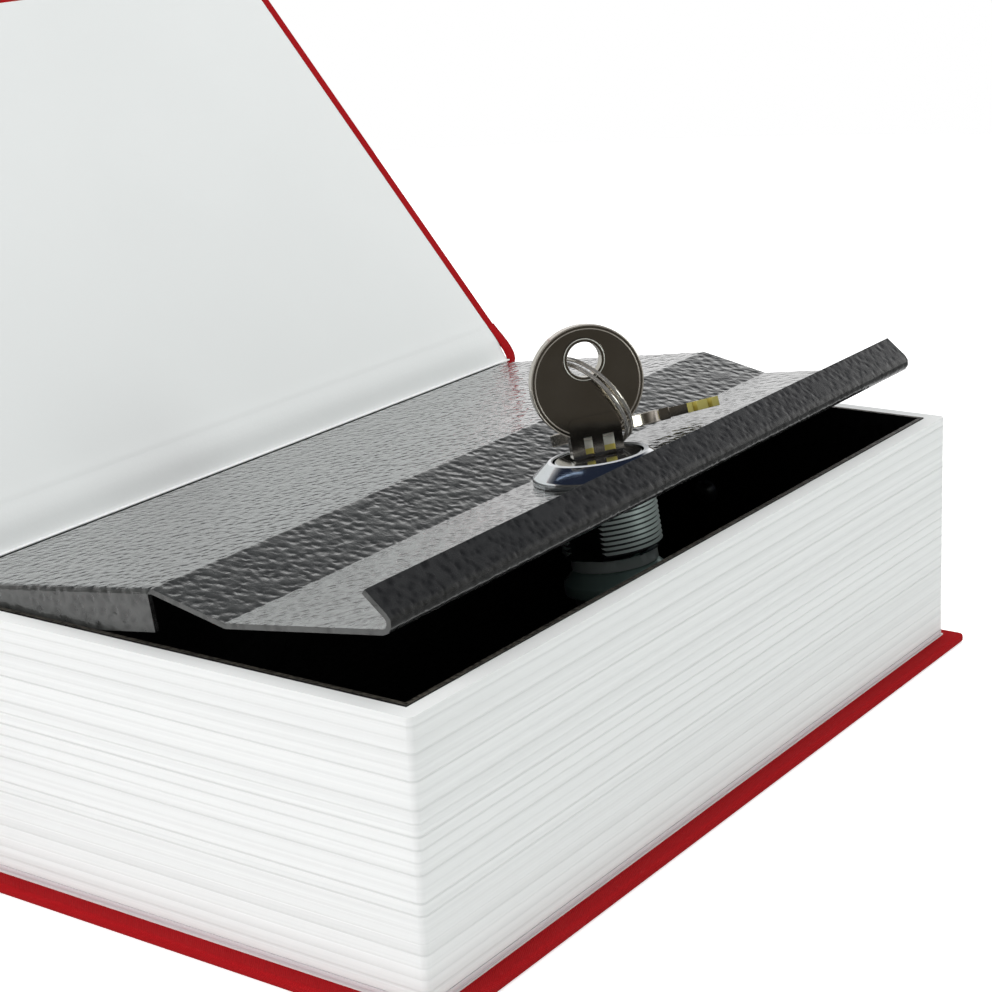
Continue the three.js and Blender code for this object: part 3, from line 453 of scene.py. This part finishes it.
mesh = block(block_low, block_high)
upright = [e for e in mesh.edges if abs(e.verts[0].co.z - e.verts[1].co.z) > near]
round_edges(mesh, upright, block_corner, 5)
long_runs = [e for e in mesh.edges
             if e.calc_length() > 2 * block_corner and abs(e.verts[0].co.z - e.verts[1].co.z) < near]
bmesh.ops.subdivide_edges(mesh, edges=long_runs, cuts=top_cuts, use_grid_fill=True)
for layer in range(1, leaf_layers):
    level = block_low.z + (block_high.z - block_low.z) * layer / leaf_layers
    sides = [f for f in mesh.faces if abs(f.normal.z) < 0.5]
    edges = list({e for f in sides for e in f.edges})
    bmesh.ops.bisect_plane(mesh, geom=sides + edges + list({v for f in sides for v in f.verts}),
                           plane_co=(0, 0, level), plane_no=(0, 0, 1))
mesh.normal_update()
for vert in mesh.verts:
    run = Vector((vert.co.x * wave_along, vert.co.y * wave_along, vert.co.z * wave_across))
    wave = noise.noise(run) + 0.5 * noise.noise(run * 2.7)
    out = Vector((vert.normal.x, vert.normal.y, 0))
    if out.length > 0.3:
        vert.co += out.normalized() * (leaf_wave * wave - leaf_wave)
top_and_bottom = [f for f in mesh.faces if abs(f.normal.z) > squarely]
bmesh.ops.delete(mesh, geom=top_and_bottom, context="FACES_ONLY")
for step in ("rim", "inner wall"):
    edges = [e for e in mesh.edges if e.is_boundary and all(v.co.z > block_high.z - near for v in e.verts)]
    moved = only(bmesh.ops.extrude_edge_only(mesh, edges=edges)["geom"], bmesh.types.BMVert)
    for vert in moved:
        vert.co.x = min(max(vert.co.x, block_low.x + wall_side), block_high.x - wall_side)
        vert.co.y = min(max(vert.co.y, block_low.y + wall_side), block_high.y - wall_side)
        vert.co.z = block_high.z if step == "rim" else block_low.z
    bmesh.ops.remove_doubles(mesh, verts=moved, dist=near)
bmesh.ops.bridge_loops(mesh, edges=[e for e in mesh.edges if e.is_boundary])
bmesh.ops.recalc_face_normals(mesh, faces=mesh.faces)
pages = smooth_piece(mesh_piece("page_leaves", mesh, page_edges), 35, weighted=False)
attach(pages, "case")
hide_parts("page_block")

# The steel box: one folded tray in dark hammered paint; on top of its rim the paint is rougher and painted
# lighter, as painted light on the faces that look up.
# Its rim stands a hair above the pages, and two domed rivets hold it in the end walls.
coat_flow = 1.1 * millimetre
box_relief = 0.08 * millimetre
rim_relief = 0.1 * millimetre
box_dark = (0.004, 0.004, 0.004, 1)
box_light = (0.009, 0.009, 0.009, 1)
rim_dark = (0.008, 0.007, 0.006, 1)
rim_light = (0.075, 0.068, 0.055, 1)
box_corner = 0.15 * millimetre
weld_gap = 0.002 * millimetre
flat_bend = math.radians(0.6)
eased_bend = math.radians(35)

hammered, cell_count, result = node_group("hammered_coat", "Cells", "NodeSocketFloat", ("Relief", "Pools_and_shade"))
place = own_place(hammered)
flow = noise_texture(hammered, place, 420.0, 2.0)
pull = vector_maths(hammered, "MULTIPLY", flow.outputs["Color"], (coat_flow,) * 3)
pulled = vector_maths(hammered, "ADD", place, pull)
inputs = {"Vector": pulled, "Scale": cell_count, "Smoothness": 0.7}
cells = add_node(hammered, "ShaderNodeTexVoronoi", inputs, feature="SMOOTH_F1")
ripple = noise_texture(hammered, pulled, 1100.0, 2.0)
# The dimples set the colour as well as the relief: darker in the hollows, lighter on the crests, partly
# painted shade and painted light.
dimples = spread(hammered, cells.outputs["Distance"], 0.05, 0.75, 0.0, 1.0)
both = maths(hammered, "ADD", dimples, maths(hammered, "MULTIPLY", ripple.outputs["Fac"], 0.5))
hammered.links.new(both, result.inputs[0])
hammered.links.new(dimples, result.inputs[1])


def paint_material(name, low, high, cell_count, depth, **sockets):
    """Hammered paint, darker in its dimples and lighter on its crests: partly the paint pooling, partly
    painted shade and painted light.
    """
    made, tree, shader = new_material(name, **sockets)
    coat = add_node(tree, "ShaderNodeGroup", node_tree=hammered)
    coat.inputs["Cells"].default_value = cell_count
    tree.links.new(mixed(tree, coat.outputs["Pools_and_shade"], low, high), shader.inputs["Base Color"])
    roughen(tree, shader, coat.outputs["Relief"], depth)
    return made


def eased_copy(node, width):
    """A merged copy of a CAD part, with its sharp edges eased as filing or plating leaves them."""
    mesh = bmesh.new()
    mesh.from_mesh(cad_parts[node].data)
    bmesh.ops.remove_doubles(mesh, verts=mesh.verts, dist=weld_gap)
    bmesh.ops.dissolve_limit(mesh, angle_limit=flat_bend, verts=mesh.verts, edges=mesh.edges)
    sharp = [e for e in mesh.edges if len(e.link_faces) == 2 and e.calc_face_angle(0) > eased_bend]
    if width:
        round_edges(mesh, sharp, width, 2)
    return mesh


box_paint = paint_material("box_paint", box_dark, box_light, 620.0, box_relief,
                           Roughness=0.42, Specular_IOR_Level=0.3)
lit_rim_paint = paint_material("lit_rim_paint", rim_dark, rim_light, 1300.0, rim_relief, Roughness=0.5)
mesh = eased_copy("steel_box", box_corner)
# Faces that look up above the pages take the lighter paint: painted light on the top of the rim.
for face in mesh.faces:
    face.material_index = int(face.normal.z > 0.3 and face.calc_center_median().z > block_high.z)
steel_box = mesh_piece("steel_tray", mesh, box_paint)
steel_box.data.materials.append(lit_rim_paint)
smooth_piece(steel_box)
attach(steel_box, "case")
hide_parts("steel_box")

# The strike plate, its rivets, the box rivets and the pivots: zinc-plated steel.
# They are riveted through the box walls, so only their heads show inside.
scratch_scale = (900.0, 5200.0, 1400.0)
zinc_dark = (0.30, 0.31, 0.32, 1)
zinc_light = (0.46, 0.47, 0.48, 1)

handled, scale, result = node_group("handled_metal", "Scale", "NodeSocketFloat", ("Smears", "Scratches"))
place = own_place(handled)
smears = noise_texture(handled, place, scale, 5.0)
scratches = noise_texture(handled, vector_maths(handled, "MULTIPLY", place, scratch_scale), 1.0, 4.0)
handled.links.new(smears.outputs["Fac"], result.inputs[0])
handled.links.new(scratches.outputs["Fac"], result.inputs[1])


def metal_material(name, low, high, smooth, rough, scratch, smear_scale=180.0, metallic=1.0):
    """Bare or plated metal, with handling smears and fine scratches, their depth in millimetres."""
    made, tree, shader = new_material(name, Metallic=metallic)
    marks = add_node(tree, "ShaderNodeGroup", node_tree=handled)
    marks.inputs["Scale"].default_value = smear_scale
    tree.links.new(mixed(tree, marks.outputs["Smears"], low, high), shader.inputs["Base Color"])
    gloss = spread(tree, marks.outputs["Smears"], 0.35, 0.7, smooth, rough)
    tree.links.new(gloss, shader.inputs["Roughness"])
    roughen(tree, shader, marks.outputs["Scratches"], scratch * millimetre)
    return made


def eased_piece(node, name, body, finish, ease):
    """A CAD part with its edges eased, by a width in millimetres, in place of the plain one."""
    piece = smooth_piece(mesh_piece(name, eased_copy(node, ease * millimetre), finish))
    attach(piece, body)
    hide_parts(node)


zinc = metal_material("zinc_plate", zinc_dark, zinc_light, 0.28, 0.45, 0.01)
for node, ease in (("strike_plate", 0.12), ("strike_rivet_1", 0.06), ("strike_rivet_2", 0.06),
                   ("lid_pivot_head", 0.12), ("lid_pivot_tail", 0.12),
                   ("box_rivet_head", 0.1), ("box_rivet_tail", 0.1)):
    eased_piece(node, f"{node}_plated", "case", zinc, ease)

# The cloth joint: the same red cloth, loose over the groove between spine and front board.
# With the cover thrown back it folds into a small loop beside the hinge line.
joint_thickness = 0.3 * millimetre
loop_line = [(-55.95, 52.2), (-55.6, 52.05), (-55.35, 51.6), (-55.0, 51.2), (-54.6, 51.08), (-54.3, 51.22),
             (-54.12, 51.55), (-54.15, 52.0), (-54.35, 52.35), (-54.62, 52.65), (-55.2, 53.25),
             (-55.97, 54.0), (-56.68, 54.5)]
joint_end = case_high.y - 0.45 * millimetre


def swept_sheet(line, low, high, cuts, mesh=None):
    """A sheet with a given section across the hinge, run from one place along the spine to another."""
    mesh = mesh or bmesh.new()
    points = [mesh.verts.new((x * millimetre, low, z * millimetre)) for x, z in line]
    edges = [mesh.edges.new(pair) for pair in zip(points, points[1:])]
    for step in range(cuts):
        made = bmesh.ops.extrude_edge_only(mesh, edges=edges)["geom"]
        bmesh.ops.translate(mesh, vec=(0, (high - low) / cuts, 0), verts=only(made, bmesh.types.BMVert))
        edges = [e for e in only(made, bmesh.types.BMEdge) if abs(e.verts[0].co.y - e.verts[1].co.y) < near]
    bmesh.ops.recalc_face_normals(mesh, faces=mesh.faces)
    return mesh


mesh = swept_sheet(loop_line, -joint_end, joint_end, 12)
bmesh.ops.subdivide_edges(mesh, edges=mesh.edges, cuts=3, use_grid_fill=True, smooth=1.0)
lay_weave(mesh)
joint_cloth = smooth_piece(mesh_piece("joint_cloth", mesh, red_cloth), 60, weighted=False)
thicken(joint_cloth, joint_thickness, 0.0)
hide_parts("front_joint_cloth")
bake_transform(joint_cloth)

# Past the head and the tail of the pages the joint's turned-in cloth is free, and it hangs in a slack fold.
# It joins the cover's turn-in to the top of the spine.
fold_line = [(-57.1, 55.65), (-55.9, 54.4), (-54.5, 53.05), (-53.3, 51.8), (-52.4, 50.6), (-51.8, 49.5),
             (-51.55, 48.4), (-51.8, 47.3), (-52.5, 46.4), (-53.5, 46.1), (-54.4, 46.6), (-55.05, 47.6),
             (-55.35, 49.0), (-55.5, 50.5), (-55.6, 51.7)]
fold_start = 87.25 * millimetre
fold_end = 89.75 * millimetre
mesh = swept_sheet(fold_line, fold_start, fold_end, 2)
swept_sheet(fold_line, -fold_end, -fold_start, 2, mesh)
lay_weave(mesh)
joint_folds = smooth_piece(mesh_piece("joint_folds", mesh, red_cloth), 80, weighted=False)
thicken(joint_folds, 2 * joint_thickness, 0.0)
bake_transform(joint_folds)

# The front cover: a stiff board wrapped in the red cloth, thrown back past upright.
# It is built closed and turned about the cloth joint, as a binder would open it.
hinge_line = Vector((-0.05314, 0, 0.0507))
open_angle = 130
opened = Matrix.Translation(hinge_line) @ Matrix.Rotation(math.radians(-open_angle), 4, "Y")
cover_fore = case_high.x - hinge_line.x
cover_outer = case_high.z - hinge_line.z
cover_inner = -0.25 * millimetre
board_start = 6.2 * millimetre
flap_corner = 0.65 * cloth_corner
flap_moves = ((-0.45, -0.7), (-0.55, -0.65))

mesh = block((board_start, case_low.y, cover_inner), (cover_fore, case_high.y, cover_outer))
mesh.normal_update()
joint_side = [f for f in mesh.faces if f.normal.x < -squarely]
bmesh.ops.delete(mesh, geom=joint_side, context="FACES_ONLY")
outer = [e for e in mesh.edges if len(e.link_faces) == 2]
round_edges(mesh, outer, cloth_corner, 4)
mesh.normal_update()
inside = [f for f in mesh.faces if f.normal.z < -squarely]
open_skin(mesh, inside, turn_in)
flap = [e for e in mesh.edges if e.is_boundary
        and all(v.co.x < board_start + near and v.co.z > cover_outer - flap_corner for v in e.verts)]
for inwards, down in flap_moves:
    made = bmesh.ops.extrude_edge_only(mesh, edges=flap)["geom"]
    bmesh.ops.translate(mesh, vec=(inwards * millimetre, 0, down * millimetre),
                        verts=only(made, bmesh.types.BMVert))
    flap = [e for e in only(made, bmesh.types.BMEdge) if abs(e.verts[0].co.x - e.verts[1].co.x) < near]
lay_weave(mesh)
bmesh.ops.transform(mesh, matrix=opened, verts=mesh.verts)
cover_cloth = smooth_piece(thicken(mesh_piece("cover_cloth_skin", mesh, red_cloth), skin))
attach(cover_cloth, "front_cover")
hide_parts("front_cloth")

mesh = block((board_start, case_low.y + under_cloth, cover_inner + under_cloth),
             (cover_fore - under_cloth, case_high.y - under_cloth, cover_outer - under_cloth))
round_edges(mesh, mesh.edges, card_corner, 2)
bmesh.ops.transform(mesh, matrix=opened, verts=mesh.verts)
cover_board = smooth_piece(mesh_piece("cover_card", mesh, card))
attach(cover_board, "front_cover")
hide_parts("front_board")

# One white endpaper lines the cover, crosses the joint and is pasted along the page block.
# It creases where it leaves the board, and it bends with the cover.
paper_sheet = 0.26 * millimetre
paper_end = block_high.y
paper_edge = 0.4 * millimetre
cover_paper = -0.43
crease_depth = 0.05
crease_width = 0.9
board_runs = [107.64, 107.2, 95, 80, 65, 50, 38, 28, 20, 14, 10.5, 8.3, 7.2, 6.6, 6.1, 5.6]
crease_run = board_runs[-3]
section = [(-50.9, 48.66), (-51.5, 48.62), (-51.8, 48.75), (-52.1, 49.1), (-52.5, 49.75), (-53.0, 50.65),
           (-53.45, 51.45), (-53.85, 52.1), (-54.27, 52.72), (-54.78, 53.38), (-55.33, 54.05),
           (-55.92, 54.72)]
for run in reversed(board_runs):
    crease = crease_depth * math.exp(-((run - crease_run) / crease_width) ** 2)
    spot = opened @ Vector((run * millimetre, 0, (cover_paper - crease) * millimetre))
    section.append((spot.x / millimetre, spot.z / millimetre))
mesh = swept_sheet(section, -paper_end, paper_end, 12)
bmesh.ops.subdivide_edges(mesh, edges=mesh.edges, cuts=3, use_grid_fill=True)
for side in (-1, 1):
    cut_across(mesh, (0, side * (paper_end - paper_edge), 0), (0, 1, 0))
lay_weave(mesh)
endpaper = smooth_piece(mesh_piece("front_endpaper_sheet", mesh, white_paper), 60, weighted=False)
thicken(endpaper, paper_sheet, 0.0)
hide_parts("front_endpaper", "joint_endpaper")
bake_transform(endpaper)

# The lid: one sheet of steel, pressed into a raised panel, a slope, a trough and a lip that leans back.
# Its thick hammered paint is glossy, so the flats mirror the cover and the backdrop. The slope's paint is
# painted lighter than the panel's and the lip's: painted light on the same paint.
lid_finish = dict(Roughness=0.2, IOR=1.4, Coat_Weight=1.0, Coat_Roughness=0.06, Coat_IOR=1.4)
# The slope's colours are painted lighter than the panel's and the lip's: painted light, not a different
# paint.
lid_coats = (("panel", grey(0.014), grey(0.034), 640.0, 0.21),
             ("slope", (0.03, 0.031, 0.03, 1), (0.06, 0.062, 0.06, 1), 560.0, 0.13),
             ("lip", grey(0.014), grey(0.034), 700.0, 0.04))
lid_paints = []
for name, low, high, cell_count, depth in lid_coats:
    paint = paint_material(f"lid_paint_{name}", low, high, cell_count, depth * millimetre, **lid_finish)
    nodes = paint.node_tree.nodes
    paint.node_tree.links.new(nodes["Bump"].outputs[0], nodes["Principled BSDF"].inputs["Coat Normal"])
    lid_paints.append(paint)
lid_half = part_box("lid")[1].y
fold_radius = 0.85 * millimetre
fold_end = 1.7 * millimetre
lip_start = 47.0 * millimetre
fold_steps = (0.85, 0.5, 0.25, 0.1)
paint_edge = 0.3 * millimetre
cut_angle = math.radians(75)
up_and_back = Vector((-0.6, 0, 0.8))


def is_fold(edge):
    """Whether an edge belongs to a fold between the panel and one of its end flanges."""
    return (max(v.co.x for v in edge.verts) < fold_end and edge.is_convex
            and max(f.normal.dot(up_and_back) for f in edge.link_faces) > 0.5
            and max(abs(f.normal.y) for f in edge.link_faces) > 0.95)


mesh = eased_copy("lid", 0)
cut_edges = [e for e in mesh.edges if len(e.link_faces) == 2 and e.calc_face_angle(0) > cut_angle]
round_edges(mesh, [e for e in cut_edges if not is_fold(e)], paint_edge, 3)
for side in (-1, 1):
    for inset in fold_steps:
        cut_across(mesh, (0, side * (lid_half - inset * millimetre), 0), (0, 1, 0))
mesh.normal_update()
lowered = []
for vert in mesh.verts:
    tops = [f.normal for f in vert.link_faces if abs(f.normal.y) < 0.3 and f.normal.dot(up_and_back) > 0.2]
    reach = fold_radius - max(lid_half - abs(vert.co.y), 0.0)
    if tops and reach > 0 and vert.co.x < fold_end:
        drop = fold_radius - math.sqrt(max(fold_radius ** 2 - reach ** 2, 0.0))
        lowered.append((vert, sum(tops, Vector()).normalized() * drop))
for vert, drop in lowered:
    vert.co -= drop
mesh.normal_update()
for face in mesh.faces:
    middle = face.calc_center_median()
    if middle.x > lip_start or face.normal.x > 0.5:
        face.material_index = 2
    elif middle.x > fold_end or abs(face.normal.y) > 0.5:
        face.material_index = 1
lid = mesh_piece("pressed_lid", mesh, lid_paints[0])
for paint in lid_paints[1:]:
    lid.data.materials.append(paint)
smooth_piece(lid, 50)
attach(lid, "lid")
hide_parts("lid")

# The lock's housing: a bezel and a threaded barrel in one chromed casting, through the lid's trough.
# A washer and a hexagon nut below the sheet hold it.
lock_foot = Vector((28.2707, 2.65, 55.7005)) * millimetre
lock_up = Vector((-0.1455606, 0, 0.9893493))
bezel_low = 1.1 * millimetre
bezel_crest = 3.2 * millimetre
bezel_corner = 0.28 * millimetre
thread_top = -0.3 * millimetre
thread_foot = -13.8 * millimetre
level_side = 0.3


def plain_metal(name, colour, metallic, roughness):
    """A metal that is the same all over."""
    return new_material(name, Base_Color=(*colour, 1), Metallic=metallic, Roughness=roughness)[0]


chrome = metal_material("lock_chrome", (0.70, 0.72, 0.74, 1), (0.80, 0.82, 0.84, 1), 0.05, 0.14, 0.003, 120.0)
satin = metal_material("barrel_satin", (0.40, 0.49, 0.47, 1), (0.58, 0.67, 0.65, 1), 0.16, 0.24, 0.003, 200.0)
# The bezel's crest is painted pale and less metallic: a painted highlight where the chrome would mirror a
# light ceiling.
crest_highlight = plain_metal("chrome_crest_highlight", (0.84, 0.86, 0.88), 0.3, 0.3)
# The thread's upward flanks and its plain end are painted pale as painted highlights, and its downward flanks
# are painted dark as painted shade.
thread_highlight = plain_metal("thread_highlight", (0.62, 0.7, 0.68), 0.45, 0.28)
thread_shade = plain_metal("thread_shade", (0.05, 0.06, 0.06), 0.8, 0.4)
finishes = (chrome, satin, crest_highlight, thread_highlight, thread_shade)


def housing_finish(face):
    """Which finish a face of the housing has, by its height and by how far it looks up or down: painted
    highlights on the crest, the thread's upward flanks and its plain end, painted shade on its downward
    flanks.
    """
    height = (face.calc_center_median() - lock_foot).dot(lock_up)
    slant = face.normal.dot(lock_up)
    if height > bezel_crest:
        return crest_highlight
    if height >= thread_top:
        return chrome
    if height <= thread_foot:
        return thread_highlight if abs(slant) < level_side else thread_shade
    if abs(slant) <= level_side:
        return satin
    return thread_highlight if slant > 0 else thread_shade


mesh = eased_copy("lock_housing", 0)
circles = [e for e in mesh.edges if min((v.co - lock_foot).dot(lock_up) for v in e.verts) > bezel_low
           and len(e.link_faces) == 2 and e.calc_face_angle(0) > sharp_turn]
round_edges(mesh, circles, bezel_corner, 3)
for face in mesh.faces:
    face.material_index = finishes.index(housing_finish(face))
housing = mesh_piece("lock_housing_cast", mesh, chrome)
for finish in finishes[1:]:
    housing.data.materials.append(finish)
smooth_piece(housing, 35, weighted=False)
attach(housing, "lid")
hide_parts("lock_housing")
for node, ease in (("lock_washer", 0.1), ("lock_nut", 0.25)):
    eased_piece(node, f"{node}_plated", "lid", zinc, ease)

# The plug that the key turns, a chromed bar with its keyway, wafer slots and square tail.
# Brass wafers and their small springs sit across it, out of sight.
brass = metal_material("wafer_brass", (0.50, 0.36, 0.10, 1), (0.66, 0.50, 0.18, 1), 0.25, 0.4, 0.006)
wire_steel = metal_material("wire_steel", (0.62, 0.58, 0.52, 1), (0.78, 0.75, 0.70, 1), 0.10, 0.22, 0.004,
                            metallic=0.75)
plug = smooth_piece(mesh_piece("lock_plug_bar", eased_copy("lock_plug", 0), chrome), 35)
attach(plug, "plug")
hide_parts("lock_plug")
for number in range(1, 6):
    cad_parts[f"wafer_{number}"].data.materials[0] = brass
    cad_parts[f"wafer_spring_{number}"].data.materials[0] = wire_steel

# The flared collar, the cam and its washer and screw turn with the plug's square tail.
# The collar is dark chrome, and the rest is zinc-plated.
dark_chrome = metal_material("dark_chrome", (0.22, 0.33, 0.31, 1), (0.32, 0.45, 0.42, 1), 0.26, 0.38, 0.005,
                             150.0, metallic=0.5)
eased_piece("cam_collar", "cam_collar_turned", "plug", dark_chrome, 0.25)
for node, ease in (("cam", 0.15), ("cam_washer", 0.1), ("cam_screw", 0.12)):
    eased_piece(node, f"{node}_turned", "plug", zinc, ease)

# Two keys stamped from brass and nickel-plated, with a raised rim round the bow and its hole.
# The grooves and the steps of the blade are cut after plating.
nickel = metal_material("key_nickel", (0.46, 0.41, 0.35, 1), (0.56, 0.51, 0.44, 1), 0.12, 0.2, 0.004, 90.0)
# The upper walls of the grooves and the rings round the hole are painted pale grey: a painted highlight.
highlight_grey = plain_metal("highlight_grey_plate", (0.74, 0.74, 0.68), 0.3, 0.4)
bare_brass = plain_metal("bare_brass", (0.78, 0.68, 0.2), 0.45, 0.4)
# The bow's rings take a less metallic finish so they catch the lamps as thin light lines: a painted
# highlight.
rim_highlight = plain_metal("rim_highlight", (0.44, 0.40, 0.35), 0.4, 0.35)
finishes = (nickel, highlight_grey, bare_brass, rim_highlight)
key_corner = 0.07 * millimetre
blade_top = -2.0
groove_low = 3.9
groove_middle = 4.9
groove_high = 7.0
groove_side = 4.2
groove_depth = 0.78
bow_centre = 16.39
hole_centre = 20.46
beads = ((bow_centre, 9.33, 1.0, 0.1, rim_highlight), (bow_centre, 9.93, 0.93, 0.13, rim_highlight),
         (hole_centre, 3.6, 1.0, 0.13, highlight_grey), (hole_centre, 3.16, 1.0, 0.1, highlight_grey))
key_axes = {
    "key": ((28.2707, 2.65, 55.7005), (0.65297, 0.75126, 0.09607), (0.74326, -0.66, 0.10935),
            (-0.14556, 0, 0.98935)),
    "spare_key": ((24.1851, 30.3412, 59.0617), (0.9389, -0.10792, 0.32684), (-0.31591, 0.10685, 0.94275),
                  (-0.13666, -0.9884, 0.06623)),
}


def cut_finish(face, foot, across, through, along):
    """Which finish a face has: plated, painted pale as a highlight high in a groove, or bare on the blade and
    low in a groove.
    """
    spot = (face.calc_center_median() - foot) / millimetre
    side, depth, height = spot.dot(across), spot.dot(through), spot.dot(along)
    if height < blade_top:
        return bare_brass
    in_groove = groove_low < height < groove_high and abs(side) < groove_side and abs(depth) < groove_depth
    if in_groove and abs(face.normal.dot(along)) < 0.5:
        return highlight_grey if height > groove_middle else bare_brass
    return nickel


def lay_bead(mesh, centre, across, through, radius, size):
    """A fine coined ring on a key's face."""
    ring = bmesh.ops.create_circle(mesh, cap_ends=False, radius=size, segments=8)["verts"]
    stand = Matrix((across, through, across.cross(through))).transposed().to_4x4()
    bmesh.ops.transform(mesh, matrix=Matrix.Translation(centre + across * radius) @ stand, verts=ring)
    edges = list({e for v in ring for e in v.link_edges})
    bmesh.ops.spin(mesh, geom=edges, cent=centre, axis=through, angle=2 * math.pi, steps=72, use_merge=True)


for node in ("key", "spare_key"):
    foot, across, through, along = (Vector(v) for v in key_axes[node])
    foot = foot * millimetre
    mesh = eased_copy(node, key_corner)
    for height in (blade_top, groove_low, groove_middle):
        cut_across(mesh, foot + along * (height * millimetre), along)
    for face in mesh.faces:
        face.material_index = finishes.index(cut_finish(face, foot, across, through, along))
    for height, radius, depth, size, finish in beads:
        for side in (-1, 1):
            before = set(mesh.faces)
            centre = foot + (along * height + through * (depth * side)) * millimetre
            lay_bead(mesh, centre, across, through, radius * millimetre, size * millimetre)
            for face in set(mesh.faces) - before:
                face.material_index = finishes.index(finish)
    bmesh.ops.recalc_face_normals(mesh, faces=mesh.faces)
    piece = mesh_piece(f"{node}_plated", mesh, nickel)
    for finish in finishes[1:]:
        piece.data.materials.append(finish)
    smooth_piece(piece)
    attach(piece, node)
    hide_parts(node)

# The split ring: two turns of bright round wire side by side, with one crossing.
# The key in the lock and the spare both hang on it.
ring_centre = Vector((23.7489, 6.4346, 67.3128)) * millimetre
ring_outward = Vector((0.1136, -0.5025, 0.8570)).normalized()
ring_axis = Vector((0.2160, 0.8545, 0.4724)).normalized()
ring_along = ring_axis.cross(ring_outward)
ring_radius = 9.0 * millimetre
wire_radius = 0.375 * millimetre
turn_pitch = 1.2 * millimetre
start_angle = math.radians(280)
sweeps = ((320, 96, 0.0), (40, 20, turn_pitch), (312, 94, 0.0))

mesh = bmesh.new()
bmesh.ops.create_circle(mesh, cap_ends=False, radius=wire_radius, segments=16)
spoke = ring_outward * math.cos(start_angle) + ring_along * math.sin(start_angle)
stand = Matrix((spoke, ring_axis, spoke.cross(ring_axis))).transposed().to_4x4()
spot = ring_centre + spoke * ring_radius - ring_axis * (turn_pitch / 2)
bmesh.ops.transform(mesh, matrix=Matrix.Translation(spot) @ stand, verts=mesh.verts)
last = mesh.edges[:]
for sweep, steps, rise in sweeps:
    made = bmesh.ops.spin(mesh, geom=last, cent=ring_centre, axis=ring_axis, dvec=ring_axis * (rise / steps),
                          angle=math.radians(sweep), steps=steps, use_merge=False, use_duplicate=False)
    last = only(made["geom_last"], bmesh.types.BMEdge)
for end in (last, [e for e in mesh.edges if e.is_boundary and e not in last]):
    bmesh.ops.contextual_create(mesh, geom=end)
bmesh.ops.recalc_face_normals(mesh, faces=mesh.faces)
key_ring = smooth_piece(mesh_piece("split_ring", mesh, wire_steel), 50, weighted=False)
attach(key_ring, "key_ring")
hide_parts("key_ring")

bpy.context.scene.view_settings.view_transform = "Standard"
